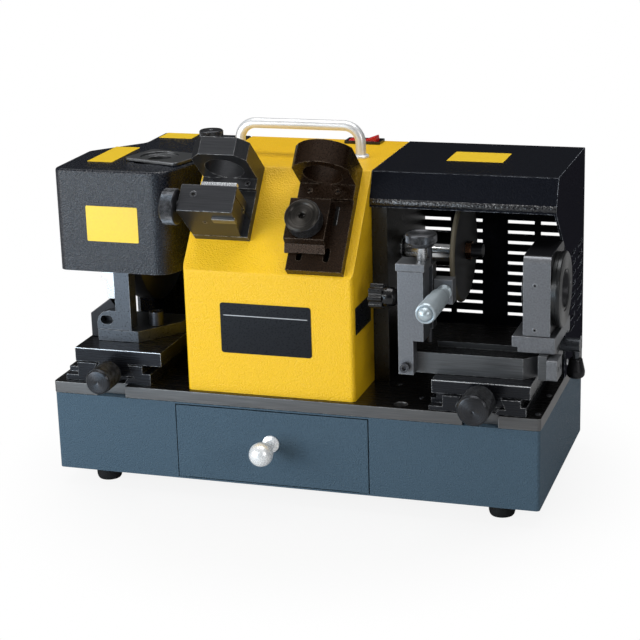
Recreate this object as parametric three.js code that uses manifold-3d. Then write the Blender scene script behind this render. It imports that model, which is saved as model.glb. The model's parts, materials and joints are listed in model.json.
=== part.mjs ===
// End mill grinder: a two-station bench grinder standing on a drawer cabinet.
// Lengths are in millimetres. +Z is up, +X is to the operator's right and +Y runs away from them.
// Places count from the middle of the cabinet's width, its front face and the top of the deck plate.

import * as THREE from 'three';
import { mergeVertices } from 'three/addons/utils/BufferGeometryUtils.js';
import Module from 'manifold-3d';

const wasm = await Module();
wasm.setup();

// Fits shared by all pieces
const clearance = 0.3; // gap between two separate solids that touch or run on each other
const overrun = 8; // how far a cutting solid runs past the faces that it opens
const weld = 0.0001; // points closer than this are one point

// Facets
const roundSides = 30;
const smallSides = 16;
const cornerSteps = 3;
const handleSteps = 30;

// Cabinet, feet and drawer
const cabinet = { width: 440, depth: 203, height: 71.5, sheet: 1.5, corner: 3 };
const foot = { radius: 11.5, soleRadius: 10.2, height: 15.6, insetX: 37, insetY: 25 };
const drawer = {
  width: 175.1, offset: -16.05, lip: 2.3, gap: 0.8, sheet: 1.2, length: 180, proud: 0.5,
  sideInset: 2, trayHeight: 46, runnerWidth: 9, guideHeight: 30,
};
const drawerKnob = {
  ballRadius: 10.5, reach: 27, neckRadius: 4.2, flangeRadius: 7.6, flangeThickness: 2.2, rise: 4.5,
};

// Deck plate
const deck = {
  sideProud: 0.5, thickness: 10.8, corner: 3, notchDepth: 8, notchMargin: 1.5,
  holeRadius: 6, holeDepth: 8, holeX: 98.3, holeY: 10.8,
};

// Motor housing: front and rear shells share one folded profile
const housing = {
  left: -93.4, right: 59.4, front: 5, breakHeight: 108.8, topFront: 70, top: 188.2,
  seam: 115, back: 198, sheet: 2, fold: 4, shaftHole: 14,
};
const handle = {
  radius: 4.65, bend: 15, rise: 28, left: -77.4, right: 35.2, behindSeam: 5,
  collarRadius: 7.4, collarHeight: 2.6,
};
const bezel = {
  x: 19.9, y: 184, length: 34.2, width: 18, height: 2.6, rim: 2.6, bodyDepth: 17, pocketDepth: 10,
};
const rocker = { gap: 0.5, endRise: 5, middleRise: 2.2, keelShare: 0.6, tiltDegrees: -8 };
const inlet = {
  x: -52, z: 42, width: 48, height: 28, flange: 2.4, depth: 17, rim: 8, wall: 3,
  socketDepth: 16, pinLength: 8, pinWidth: 4, pinThickness: 2, pinSpacing: 7,
};

// Spindle and wheels, on one axis along X
const spindle = { z: 110, radius: 8, bearingRadius: 16, bearingLength: 9 };
const motor = { radius: 48, endGap: 10, footWidth: 66, footInset: 14, bellRadius: 40, bellLength: 8 };
const leftWheel = {
  radius: 60, gap: 56.6, rimWidth: 18, taper: 6, taperRadius: 34, hubRadius: 15, hubGap: 1,
  cupRadius: 46, cupDepth: 11,
};
const rightWheel = { radius: 46, thickness: 4.5, hubRadius: 15, hubLength: 48.5 };
const arbor = { radius: 6, reach: 15.3, nutRadius: 8.5, nutLength: 5, nutSides: 6 };
const flange = { radius: 10.5, thickness: 1.5, gap: 3 };

// Right chamber: a box panel beside the housing and a folded cover over the wheel
const chamber = { thickness: 14, front: 65, sheet: 2 };
const rightCover = {
  proud: 0.5, topFront: 70, lipY: 60, lipBend: 165, lipEnd: 158.5, sheet: 2, hem: 2,
  panelFront: 108, panelShoulder: 112, slantLow: 118, slantLowY: 104, slantHigh: 136, slantHighY: 84,
};
const backSlots = {
  width: 24.8, height: 3.2, first: 26.9, pitch: 9.78, rows: 12,
  starts: [13.2, 43.2, 91.6, 122.1],
};
const sideSlots = { height: 3.2, first: 35, pitch: 9.8, rows: 8, starts: [134, 167], width: 21.5 };

// Left cover
const leftCover = {
  proud: 0.2, sheet: 2, skirt: 96, skirtBack: 136, leftCorner: 8, rightCorner: 17,
  frontWidth: 104.7, leftNarrowing: 37.7, bendStart: 105, leftBendEnd: 150, rightBendEnd: 121,
  bendRadius: 12, windowHalf: 20.5, windowFront: 24, windowBack: 27, windowCorner: 13, hubMargin: 3,
};
const coverKnob = { x: -128.8, y: 180, radius: 11.3, height: 7.5, neckRadius: 4, neckHeight: 1.2 };

// Left station
const leftStation = { reach: 71.6, screwHeight: 11.7, travelOut: 4, wheelRoom: 7 };
const leftBase = {
  left: 45.8, right: 36, front: 6, back: 104, flangeHeight: 10.5, height: 17.4,
  neckLeft: 36, neckRight: 28.5, pocketRadius: 15, pocketDepth: 7, stepWidth: 11.7, stepDepth: 8,
  stepDrop: 5, grooveFloor: 6, grooveHalf: 20, grooveLean: 5,
};
const leftTable = { left: 36.4, right: 46, front: 8, back: 100, height: 12.6, bore: 3.7 };
const leftKnob = {
  radius: 11.75, length: 28, screwRadius: 3, screwLength: 62, bevel: 1.5, dish: 1.2, dishRadius: 7,
};
const bracket = {
  footHeight: 10.2, footFront: 32, footBack: 92, footLeft: 24, footRight: 43, noseRight: 15,
  slantBack: 70, columnDepth: 14, columnLeft: 6.5, columnRight: 8, armDrop: 12, armWidth: 17,
  webLeft: 25, webHeight: 17.5, webThickness: 8, webHoleLong: 12, webHoleTall: 8, webCorner: 12,
  ringRadius: 20.5, armSpread: 13, coverGap: 1.2,
};
const holder = {
  x: 24, y: 82, bore: 17.5, neckRadius: 14, neckBore: 10.5, left: 24, right: 34, half: 21,
  thickness: 2.8, corner: 4,
  lift: 0.4, turnDegrees: -16,
};
const anglePlate = {
  thickness: 8, front: 42, left: 35, right: 7, peak: 15, leftHeight: 21.7, peakHeight: 36.7,
  rightHeight: 29.7,
};
const scaleArm = { thickness: 6, front: 40.5, left: 16, wideLeft: 21, shoulder: 18, height: 31 };
const capScrew = { headRadius: 6.5, headHeight: 12.5, shankRadius: 3.5, shankLength: 8, socket: 3.4,
  socketDepth: 5, x: 23, y: 57 };

// Right station
const rightStation = { reach: 109.9, screwHeight: 12.9 };
const rightBase = {
  left: 44.7, right: 38.7, front: 2, back: 110, flangeHeight: 8, height: 13.7,
  neckLeft: 40, neckRight: 34, pocketRadius: 17, pocketDepth: 7, stepWidth: 12, stepDepth: 9,
  stepDrop: 4, grooveFloor: 5, grooveHalf: 21, grooveLean: 4,
};
const rightTable = { left: 42.9, right: 41.2, front: 6, back: 106, height: 11.5, bore: 3.7 };
const rightKnob = {
  radius: 13.75, length: 29, screwRadius: 3, screwLength: 66, bevel: 1.5, dish: 1.4, dishRadius: 8,
};
const bed = {
  left: 72.3, right: 43.7, front: 22, back: 108, height: 18.3, chamfer: 12,
  railLeft: 45.3, railMiddle: 64, railHalf: 27, railLean: 3, railHeight: 6,
};
const endPlate = { thickness: 7.7, back: 98, rise: 0.3, top: 3.3 };
const stopBlock = { length: 9, front: 18, back: 40, rise: 1.3, drop: 1, corner: 2 };
const lever = {
  y: 88, z: 38, hubRadius: 6, hubLength: 16.5, stemRadius: 3, stemX: 12.7, stemReach: 21,
  gripRadius: 8, gripTopRadius: 5.6, gripTop: 12, gripBottom: 30, socketMargin: 0.2,
};
const carriage = {
  overhang: 13.5, width: 36.5, lowerWidth: 31.5, front: 28, back: 99, lowerRise: 3.6,
  upperRise: 8, height: 17.5,
};
const bearing = { left: 9, right: 4.5, front: 30, back: 92, height: 68.5, corner: 7 };
const chuck = {
  y: 60, z: 95.4, radius: 22, bore: 14.7, flangeRadius: 32.5, flangeThickness: 7, tail: 3, bevel: 1.2,
};

// Tooth rest on the bed's front left corner
const restBody = {
  width: 22, front: 10, depth: 22, bottom: 57, top: 117, legWidth: 13, legDepth: 12, legBottom: 27,
  stemBore: 4.3, stemDepth: 17, studBore: 3, studDepth: 8,
};
const restCap = { sideMargin: 1.5, frontMargin: 1, height: 6.5 };
const restSlide = {
  left: 16, right: 24.7, depth: 12.7, bottom: 62, top: 118, rodRadius: 2.5, rodX: 20.5, rodInset: 6,
  rodBottom: 49, rodTop: 132,
};
const thumbKnob = {
  x: 17.2, y: 25, stemRadius: 4, neckRadius: 9.5, radius: 13.3, gap: 12, cone: 4, height: 11.5, bevel: 1,
};
const sideKnob = {
  y: 21, z: 91.5, discRadius: 11, discLength: 15, barrelRadius: 8.5, barrelLength: 14, nose: 4.1,
  noseRadius: 4, studRadius: 2.7, studLength: 6,
};
const restScrew = { x: 6, z: 34, headRadius: 4.3, headHeight: 4.3, shankRadius: 2.1, bore: 2.5,
  shankLength: 19, socket: 2.2, socketDepth: 2.6 };

// Micrometer head beside the tooth rest
const micHolder = { width: 16.5, front: 34, back: 46, bottom: 83.5, top: 105, axisX: 9.4, axisZ: 94.5 };
const micSleeve = { radius: 6, seatRadius: 4.8, bore: 3.6, reach: 38, collarRadius: 6.6, collar: 2.4 };
const micSpindle = { radius: 3.2, back: 50, front: 27 };
const micThimble = { radius: 8.7, wall: 2.2, start: 12, end: 66, bevel: 6, dome: 5, domeRadius: 6 };

// Fixtures standing on the housing's slope, in X, S up the slope and N out of it
const leftJig = {
  inset: 6.4, width: 50, low: 30, high: 101, plate: 8, ledge: 12, ledgeLow: 74, ringLow: 84,
  ringHeight: 55, flatInset: 9, shoulder: 46, boreRadius: 17.2, boreN: 29,
};
const leftJigBlock = { low: 30, lowTop: 31, high: 62, highTop: 56, height: 54, undercut: 6 };
const leftJigKnob = {
  s: 38, n: 46, radius: 15.5, thickness: 13, neckRadius: 6, neck: 1.4, bevel: 1.6, studRadius: 3,
  studLength: 14, studMargin: 0.4,
};
const rightJig = {
  inset: 7.9, width: 49.5, low: 2, high: 103, plate: 8.5, ledge: 12, ledgeLow: 68, ringLow: 82,
  shoulder: 40, ringHeight: 54, boreRadius: 17.2, boreN: 29, slotWidth: 5,
  slotLow: 11, slotHigh: 24, slotLeft: 10, slotRight: 34, keyLow: 30, keyHigh: 56,
};
const rightJigSlider = {
  overhang: 3, width: 36, low: 26, high: 64, top: 20, rampLow: 17, rampTop: 11, rampKnee: 14, kneeBack: 2,
};
const rightJigKnob = {
  s: 41, radius: 15.5, height: 15.7, bevel: 1.6, dishRadius: 11, dish: 1.2, hole: 2.5,
  holeDepth: 6, studRadius: 3, studMargin: 0.4, studLift: 0.5,
};

// Places worked out from the sizes above
const deckHalf = cabinet.width / 2 + deck.sideProud;
const cabinetTop = -deck.thickness;
const cabinetBottom = cabinetTop - cabinet.height;
const drawerLeft = drawer.offset - drawer.width / 2;
const drawerRight = drawer.offset + drawer.width / 2;
const drawerBottom = cabinetBottom + drawer.lip;
const drawerTop = cabinetTop - drawer.lip;

const spindleY = housing.seam;
const leftX = housing.left - leftStation.reach;
const rightX = housing.right + rightStation.reach;

const slopeAngle = Math.atan2(housing.top - housing.breakHeight, housing.topFront - housing.front);

const chamberLeft = housing.right + clearance;
const chamberRight = chamberLeft + chamber.thickness;
const leftWheelRight = housing.left - leftWheel.gap;
const leftWheelFace = leftWheelRight - leftWheel.rimWidth - leftWheel.taper;
const rightHubStart = chamberRight + flange.thickness + flange.gap;
const rightHubEnd = rightHubStart + rightWheel.hubLength;
const rightWheelStart = rightHubEnd + clearance;
const rightWheelEnd = rightWheelStart + rightWheel.thickness;

const leftTableBottom = leftBase.height + clearance;
const leftTableTop = leftTableBottom + leftTable.height;
const columnBack = spindleY - leftWheel.radius - leftStation.wheelRoom;
const columnFront = columnBack - bracket.columnDepth;
const bracketBottom = leftTableTop + clearance;
const bracketFootTop = bracketBottom + bracket.footHeight;
const bracketTop = housing.top - leftCover.sheet - bracket.coverGap;
const armBottom = bracketTop - bracket.armDrop;
const coverFront = columnFront - leftStation.travelOut - leftCover.sheet - 2 * clearance;
const coverRight = housing.left - clearance;
const coverLeft = -deckHalf - leftCover.proud;
const holderX = leftX + holder.x;

const rightTableBottom = rightBase.height + clearance;
const rightTableTop = rightTableBottom + rightTable.height;
const bedBottom = rightTableTop + clearance;
const bedTop = bedBottom + bed.height;
const bedLeft = rightX - bed.left;
const bedRight = rightX + bed.right;
const railTop = bedTop + bed.railHeight;
const endPlateLeft = bedRight + clearance;
const endPlateRight = endPlateLeft + endPlate.thickness;
const carriageRight = bedRight + carriage.overhang;
const carriageLeft = carriageRight - carriage.width;
const carriageTop = bedTop + carriage.height;
const bearingLeft = carriageLeft + bearing.left;
const bearingRight = carriageRight - bearing.right;
const bearingBottom = carriageTop + clearance;

const restRight = bedLeft + restBody.width;
const restBack = restBody.front + restBody.depth;
const restCapBottom = restBody.top + clearance;
const restCapTop = restCapBottom + restCap.height;
const slideLeft = bedLeft + restSlide.left;
const slideRight = bedLeft + restSlide.right;
const slideFront = restBack + clearance;
const slideBack = slideFront + restSlide.depth;
const micHolderLeft = slideRight + clearance;
const micHolderRight = micHolderLeft + micHolder.width;
const micX = micHolderLeft + micHolder.axisX;
const micFront = micHolder.front;

const leftJigLeft = housing.left + leftJig.inset;
const leftJigRight = leftJigLeft + leftJig.width;
const rightJigRight = housing.right - rightJig.inset;
const rightJigLeft = rightJigRight - rightJig.width;
const jigSliderLeft = rightJigLeft - rightJigSlider.overhang;
const jigSliderRight = jigSliderLeft + rightJigSlider.width;
const jigKnobX = (jigSliderLeft + jigSliderRight) / 2;

// Finishes
const finishes = {
  blueTexture: { color: 0x4a6272, roughness: 0.62, metalness: 0.15 },
  yellowTexture: { color: 0xf0c22a, roughness: 0.55, metalness: 0.05 },
  blackWrinkle: { color: 0x17181a, roughness: 0.6, metalness: 0.1 },
  oliveGrey: { color: 0x4c4a38, roughness: 0.55, metalness: 0.2 },
  groundSteel: { color: 0x6b6760, roughness: 0.4, metalness: 0.8 },
  darkSteel: { color: 0x2b2c2e, roughness: 0.38, metalness: 0.75 },
  castGrey: { color: 0x77797c, roughness: 0.5, metalness: 0.6 },
  brightSteel: { color: 0xc4c6c8, roughness: 0.25, metalness: 0.9 },
  satinChrome: { color: 0xb4b9bc, roughness: 0.32, metalness: 0.85 },
  aluminium: { color: 0xc8cacc, roughness: 0.3, metalness: 0.85 },
  brass: { color: 0xb08d4a, roughness: 0.35, metalness: 0.85 },
  abrasive: { color: 0x8a8f93, roughness: 0.9, metalness: 0.05 },
  blackOxide: { color: 0x332c2a, roughness: 0.36, metalness: 0.7 },
  rubber: { color: 0x141414, roughness: 0.8, metalness: 0 },
  blackPlastic: { color: 0x121214, roughness: 0.45, metalness: 0 },
  redPlastic: { color: 0xc01818, roughness: 0.35, metalness: 0 },
};

// Solids made from closed three.js geometries

function signedVolume(points, corners) {
  const a = new THREE.Vector3();
  const b = new THREE.Vector3();
  const c = new THREE.Vector3();
  let total = 0;
  for (let i = 0; i < corners.length; i += 3) {
    a.fromArray(points, 3 * corners[i]);
    b.fromArray(points, 3 * corners[i + 1]);
    c.fromArray(points, 3 * corners[i + 2]);
    total += a.dot(b.cross(c));
  }
  return total;
}

function solidOf(geometry) {
  geometry.deleteAttribute('normal');
  geometry.deleteAttribute('uv');
  const merged = mergeVertices(geometry, weld);
  const points = merged.attributes.position.array;
  const index = merged.index.array;
  const corners = [];
  for (let i = 0; i < index.length; i += 3) {
    const [a, b, c] = [index[i], index[i + 1], index[i + 2]];
    if (a !== b && b !== c && c !== a) {
      corners.push(a, b, c);
    }
  }
  if (signedVolume(points, corners) < 0) {
    corners.reverse();
  }
  const vertProperties = new Float32Array(points);
  const triVerts = new Uint32Array(corners);
  return new wasm.Manifold(new wasm.Mesh({ numProp: 3, vertProperties, triVerts }));
}

function cut(solid, ...tools) {
  return tools.reduce((rest, tool) => rest.subtract(tool), solid);
}

function join(solid, ...others) {
  return others.reduce((whole, other) => whole.add(other), solid);
}

function box(left, right, front, back, bottom, top) {
  const geometry = new THREE.BoxGeometry(right - left, back - front, top - bottom);
  geometry.translate((left + right) / 2, (front + back) / 2, (bottom + top) / 2);
  return solidOf(geometry);
}

// Turns a shape built round the Y axis onto the named axis, then moves it to its two cross places
function ontoAxis(geometry, axis, [first, second]) {
  if (axis === 'x') {
    geometry.rotateZ(-Math.PI / 2).translate(0, first, second);
  } else if (axis === 'y') {
    geometry.translate(first, 0, second);
  } else {
    geometry.rotateX(Math.PI / 2).translate(first, second, 0);
  }
  return solidOf(geometry);
}

function rod(axis, radius, from, to, across, sides = roundSides) {
  const geometry = new THREE.CylinderGeometry(radius, radius, to - from, sides);
  geometry.translate(0, (from + to) / 2, 0);
  return ontoAxis(geometry, axis, across);
}

// A revolved solid: the profile lists [radius, place along the axis]
function turned(axis, profile, across, sides = roundSides) {
  const points = profile.map(([radius, along]) => new THREE.Vector2(radius, along));
  return ontoAxis(new THREE.LatheGeometry(points, sides), axis, across);
}

// A revolved solid with a bore along its axis
function ring(axis, bore, profile, across, sides = roundSides) {
  const first = [bore, profile[0][1]];
  const last = [bore, profile.at(-1)[1]];
  return turned(axis, [first, ...profile, last, first], across, sides);
}

// Corners are [u, v] or [u, v, radius], anticlockwise
function roundedPoints(corners) {
  return corners.flatMap(([u, v, radius = 0], i) => {
    const corner = new THREE.Vector2(u, v);
    if (radius === 0) {
      return [corner];
    }
    const before = new THREE.Vector2(...corners.at(i - 1).slice(0, 2)).sub(corner).normalize();
    const after = new THREE.Vector2(...corners[(i + 1) % corners.length].slice(0, 2)).sub(corner).normalize();
    const halfAngle = Math.acos(before.dot(after)) / 2;
    const middle = before.clone().add(after).normalize();
    const centre = corner.clone().addScaledVector(middle, radius / Math.sin(halfAngle));
    const reach = radius / Math.tan(halfAngle);
    const start = corner.clone().addScaledVector(before, reach).sub(centre);
    const turn = (Math.PI - 2 * halfAngle) * Math.sign(after.cross(before));
    const points = [];
    for (let step = 0; step <= cornerSteps; step += 1) {
      const angle = (turn * step) / cornerSteps;
      points.push(start.clone().rotateAround(new THREE.Vector2(0, 0), angle).add(centre));
    }
    return points;
  });
}

function rectangle(left, right, low, high, corner = 0) {
  return [[left, low, corner], [right, low, corner], [right, high, corner], [left, high, corner]];
}

// Moves each edge of an anticlockwise outline inwards by a wall
function inset(corners, wall) {
  const leftOf = (from, to) => new THREE.Vector2(from[1] - to[1], to[0] - from[0]).normalize();
  return corners.map((corner, i) => {
    const first = leftOf(corners.at(i - 1), corner);
    const second = leftOf(corner, corners[(i + 1) % corners.length]);
    const step = wall / (1 + first.dot(second));
    const grows = first.cross(second) < 0 ? wall : -wall;
    const radius = corner[2] ? Math.max(0, corner[2] + grows) : 0;
    return [corner[0] + (first.x + second.x) * step, corner[1] + (first.y + second.y) * step, radius];
  });
}

// An outline in the two other axes, drawn in the order y-z, x-z or x-y, and run along the named axis
function prism(axis, corners, from, to) {
  const shape = new THREE.Shape(roundedPoints(corners));
  const geometry = new THREE.ExtrudeGeometry(shape, { depth: to - from, bevelEnabled: false });
  const right = new THREE.Vector3(1, 0, 0);
  const away = new THREE.Vector3(0, 1, 0);
  const up = new THREE.Vector3(0, 0, 1);
  const place = new THREE.Matrix4();
  if (axis === 'x') {
    place.makeBasis(away, up, right).setPosition(from, 0, 0);
  } else if (axis === 'y') {
    place.makeBasis(right, up, away.negate()).setPosition(0, to, 0);
  } else {
    place.setPosition(0, 0, from);
  }
  return solidOf(geometry.applyMatrix4(place));
}

function piece(name, solid, finish) {
  const { vertProperties, triVerts } = solid.getMesh();
  const geometry = new THREE.BufferGeometry();
  geometry.setAttribute('position', new THREE.BufferAttribute(vertProperties, 3));
  geometry.setIndex(new THREE.BufferAttribute(triVerts, 1));
  const mesh = new THREE.Mesh(geometry, new THREE.MeshStandardMaterial({ ...finish, flatShading: true }));
  mesh.name = name;
  return mesh;
}

function group(...children) {
  const holderGroup = new THREE.Group();
  holderGroup.add(...children);
  return holderGroup;
}

// Cabinet: a folded sheet box with one drawer bay and guides on its floor
function makeCabinet() {
  const half = cabinet.width / 2;
  const { sheet } = cabinet;
  const floor = cabinetBottom + sheet;
  const plan = rectangle(-half, half, 0, cabinet.depth, cabinet.corner);
  const outer = prism('z', plan, cabinetBottom, cabinetTop);
  const hollow = box(-half + sheet, half - sheet, sheet, cabinet.depth - sheet, floor, cabinetTop - sheet);
  const bay = box(
    drawerLeft - drawer.gap, drawerRight + drawer.gap, -overrun, sheet + clearance,
    drawerBottom - drawer.gap, drawerTop + drawer.gap,
  );
  const runnerTop = drawerBottom - clearance;
  const inside = [sheet / 2, cabinet.depth - sheet / 2];
  const runners = [
    box(drawerLeft, drawerLeft + drawer.runnerWidth, ...inside, floor - sheet / 2, runnerTop),
    box(drawerRight - drawer.runnerWidth, drawerRight, ...inside, floor - sheet / 2, runnerTop),
  ];
  const guideTop = floor + drawer.guideHeight;
  const guides = [
    box(drawerLeft - drawer.gap - sheet, drawerLeft - drawer.gap, ...inside, floor - sheet / 2, guideTop),
    box(drawerRight + drawer.gap, drawerRight + drawer.gap + sheet, ...inside, floor - sheet / 2, guideTop),
  ];
  const shell = join(cut(outer, hollow, bay), ...guides);
  return piece('cabinet', join(shell, ...runners), finishes.blueTexture);
}

function makeFeet() {
  const top = cabinetBottom;
  const bottom = top - foot.height;
  const x = cabinet.width / 2 - foot.insetX;
  const places = {
    foot_front_left: [-x, foot.insetY],
    foot_front_right: [x, foot.insetY],
    foot_rear_left: [-x, cabinet.depth - foot.insetY],
    foot_rear_right: [x, cabinet.depth - foot.insetY],
  };
  const profile = [[0, bottom], [foot.soleRadius, bottom], [foot.radius, top], [0, top]];
  return Object.entries(places).map(([name, place]) => {
    const mesh = piece(name, turned('z', profile, [0, 0], smallSides), finishes.rubber);
    mesh.position.set(...place, 0);
    return mesh;
  });
}

function makeDrawer() {
  const front = -drawer.proud;
  const panelBack = front + cabinet.sheet;
  const panel = box(drawerLeft, drawerRight, front, panelBack, drawerBottom, drawerTop);
  const left = drawerLeft + drawer.sideInset;
  const right = drawerRight - drawer.sideInset;
  const rim = drawerBottom + drawer.trayHeight;
  const tray = box(left, right, panelBack - drawer.proud, drawer.length, drawerBottom, rim);
  const { sheet } = drawer;
  const hollow = box(
    left + sheet, right - sheet, panelBack, drawer.length - sheet, drawerBottom + sheet, rim + overrun,
  );
  return piece('drawer', cut(join(panel, tray), hollow), finishes.blueTexture);
}

function makeDrawerKnob() {
  const seat = -drawer.proud;
  const { ballRadius, reach, neckRadius, flangeRadius, flangeThickness } = drawerKnob;
  const profile = [[0, seat], [flangeRadius, seat], [flangeRadius, seat - flangeThickness]];
  const neckAngle = Math.asin(neckRadius / ballRadius);
  profile.push([neckRadius, seat - 2 * flangeThickness]);
  for (let step = 0; step < smallSides / 2; step += 1) {
    const angle = neckAngle + ((Math.PI - neckAngle) * step) / (smallSides / 2);
    profile.push([ballRadius * Math.sin(angle), ballRadius * Math.cos(angle) - reach]);
  }
  profile.push([0, -reach - ballRadius]);
  const height = (drawerBottom + drawerTop) / 2 + drawerKnob.rise;
  const knob = piece('drawer_knob', turned('y', profile, [0, 0], smallSides), finishes.brightSteel);
  knob.position.set(drawer.offset, 0, height);
  return knob;
}

function makeDeck() {
  const outline = rectangle(-deckHalf, deckHalf, 0, cabinet.depth, deck.corner);
  const plate = prism('z', outline, -deck.thickness, 0);
  const notch = (x, radius) => {
    const reach = radius + deck.notchMargin;
    return box(x - reach, x + reach, -overrun, deck.notchDepth, -deck.thickness - overrun, overrun);
  };
  const hole = rod('z', deck.holeRadius, -deck.holeDepth, overrun, [deck.holeX, deck.holeY], smallSides);
  const notches = [notch(leftX, leftKnob.radius), notch(rightX, rightKnob.radius)];
  return piece('base_plate', cut(plate, ...notches, hole), finishes.groundSteel);
}

// Motor housing: one folded profile, parted at the seam into a front shell and a rear cover
function housingShell() {
  const { left, right, front, back, top, topFront, breakHeight, sheet, fold } = housing;
  const profile = [
    [front, 0], [back, 0], [back, top, fold], [topFront, top, fold], [front, breakHeight, fold],
  ];
  const outer = prism('x', profile, left, right);
  const plan = prism('z', rectangle(left, right, front, back, fold), -overrun, top + overrun);
  const hollow = prism('x', inset(profile, sheet), left + sheet, right - sheet);
  const mouth = box(left + sheet, right - sheet, front + sheet, back - sheet, -overrun, 2 * sheet);
  const shaft = rod('x', housing.shaftHole, left - overrun, right + overrun, [spindleY, spindle.z]);
  return cut(outer.intersect(plan), hollow, mouth, shaft);
}

function makeHousing() {
  const { left, right, front, back, top, seam } = housing;
  const wide = [left - overrun, right + overrun];
  const tall = [-overrun, top + overrun];
  const frontShell = cut(housingShell(), box(...wide, seam, back + overrun, ...tall));
  const rearShell = cut(
    housingShell(),
    box(...wide, front - overrun, seam + clearance, ...tall),
    switchBody(clearance),
    inletBody(clearance),
  );
  return [
    piece('motor_housing', frontShell, finishes.yellowTexture),
    piece('rear_cover', rearShell, finishes.yellowTexture),
  ];
}

function makeHandle() {
  const y = housing.seam + handle.behindSeam;
  const high = housing.top + handle.rise;
  const { left, right, bend, radius } = handle;
  const at = (x, z) => new THREE.Vector3(x, y, z);
  const path = new THREE.CurvePath();
  path.add(new THREE.LineCurve3(at(left, housing.top), at(left, high - bend)));
  path.add(new THREE.QuadraticBezierCurve3(at(left, high - bend), at(left, high), at(left + bend, high)));
  path.add(new THREE.LineCurve3(at(left + bend, high), at(right - bend, high)));
  path.add(new THREE.QuadraticBezierCurve3(at(right - bend, high), at(right, high), at(right, high - bend)));
  path.add(new THREE.LineCurve3(at(right, high - bend), at(right, housing.top)));
  const section = new THREE.Shape().absarc(0, 0, radius, 0, 2 * Math.PI);
  const options = {
    steps: handleSteps, extrudePath: path, curveSegments: smallSides / 2 - 1, bevelEnabled: false,
  };
  const bar = solidOf(new THREE.ExtrudeGeometry(section, options));
  const collar = (x) => {
    return rod('z', handle.collarRadius, housing.top, housing.top + handle.collarHeight, [x, y], smallSides);
  };
  return piece('carry_handle', join(bar, collar(left), collar(right)), finishes.aluminium);
}

function switchBody(margin) {
  const halfLong = bezel.length / 2 - bezel.rim / 2 + margin;
  const halfWide = bezel.width / 2 - bezel.rim / 2 + margin;
  const bottom = housing.top - bezel.bodyDepth;
  return box(
    bezel.x - halfLong, bezel.x + halfLong, bezel.y - halfWide, bezel.y + halfWide,
    bottom - margin, housing.top + margin,
  );
}

function makeSwitch() {
  const rimTop = housing.top + bezel.height;
  const halfLong = bezel.length / 2;
  const halfWide = bezel.width / 2;
  const rim = prism('z', rectangle(
    bezel.x - halfLong, bezel.x + halfLong, bezel.y - halfWide, bezel.y + halfWide, bezel.rim / 2,
  ), housing.top, rimTop);
  const pocketLong = halfLong - bezel.rim;
  const pocketWide = halfWide - bezel.rim;
  const pocket = box(
    bezel.x - pocketLong, bezel.x + pocketLong, bezel.y - pocketWide, bezel.y + pocketWide,
    housing.top - bezel.pocketDepth, rimTop + overrun,
  );
  const frame = piece('switch_bezel', cut(join(rim, switchBody(0)), pocket), finishes.blackPlastic);

  const reach = pocketLong - rocker.gap;
  const end = Math.sqrt(reach ** 2 - rocker.endRise ** 2);
  const keel = end * rocker.keelShare;
  const half = pocketWide - rocker.gap;
  const outline = [
    [-end, -rocker.endRise / 4], [-keel, -keel], [keel, -keel], [end, -rocker.endRise / 4],
    [end, rocker.endRise], [0, rocker.middleRise], [-end, rocker.endRise],
  ];
  const paddle = piece('power_rocker', prism('y', outline, -half, half), finishes.redPlastic);
  paddle.position.set(bezel.x, bezel.y, housing.top);
  paddle.rotation.y = THREE.MathUtils.degToRad(rocker.tiltDegrees);
  return [frame, paddle];
}

// Mains inlet on the housing's back, with three flat pins
function inletBody(margin) {
  const halfWide = inlet.width / 2 - inlet.rim / 2 + margin;
  const halfTall = inlet.height / 2 - inlet.rim / 4 + margin;
  return box(
    inlet.x - halfWide, inlet.x + halfWide, housing.back - inlet.depth - margin, housing.back + margin,
    inlet.z - halfTall, inlet.z + halfTall,
  );
}

function makeInlet() {
  const halfWide = inlet.width / 2;
  const halfTall = inlet.height / 2;
  const face = housing.back + inlet.flange;
  const outline = rectangle(
    inlet.x - halfWide, inlet.x + halfWide, inlet.z - halfTall, inlet.z + halfTall, inlet.wall,
  );
  const plate = prism('y', outline, housing.back, face);
  const socketWide = halfWide - inlet.rim;
  const socketTall = halfTall - inlet.rim / 2 - inlet.wall / 2;
  const floor = face - inlet.socketDepth;
  const socket = box(
    inlet.x - socketWide, inlet.x + socketWide, floor, face + overrun,
    inlet.z - socketTall, inlet.z + socketTall,
  );
  const pin = (shift, rise) => box(
    inlet.x + shift - inlet.pinThickness / 2, inlet.x + shift + inlet.pinThickness / 2,
    floor - inlet.wall / 2, floor + inlet.pinLength,
    inlet.z + rise - inlet.pinWidth / 2, inlet.z + rise + inlet.pinWidth / 2,
  );
  const low = -inlet.pinWidth / 2;
  const pins = [pin(-inlet.pinSpacing, low), pin(0, inlet.pinWidth / 2), pin(inlet.pinSpacing, low)];
  return piece('power_inlet', join(cut(join(plate, inletBody(0)), socket), ...pins), finishes.blackPlastic);
}

// Motor and everything that turns with its shaft, on the spindle axis
function makeMotor() {
  const left = housing.left + housing.sheet + motor.endGap;
  const right = housing.right - housing.sheet - motor.endGap;
  const body = ring('x', spindle.radius + clearance, [
    [motor.bellRadius, left], [motor.radius, left + motor.bellLength],
    [motor.radius, right - motor.bellLength], [motor.bellRadius, right],
  ], [0, 0]);
  const pedestal = box(
    left + motor.footInset, right - motor.footInset, -motor.footWidth / 2, motor.footWidth / 2,
    -spindle.z, -motor.radius / 2,
  );
  return piece('motor', join(body, pedestal), finishes.castGrey);
}

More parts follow.
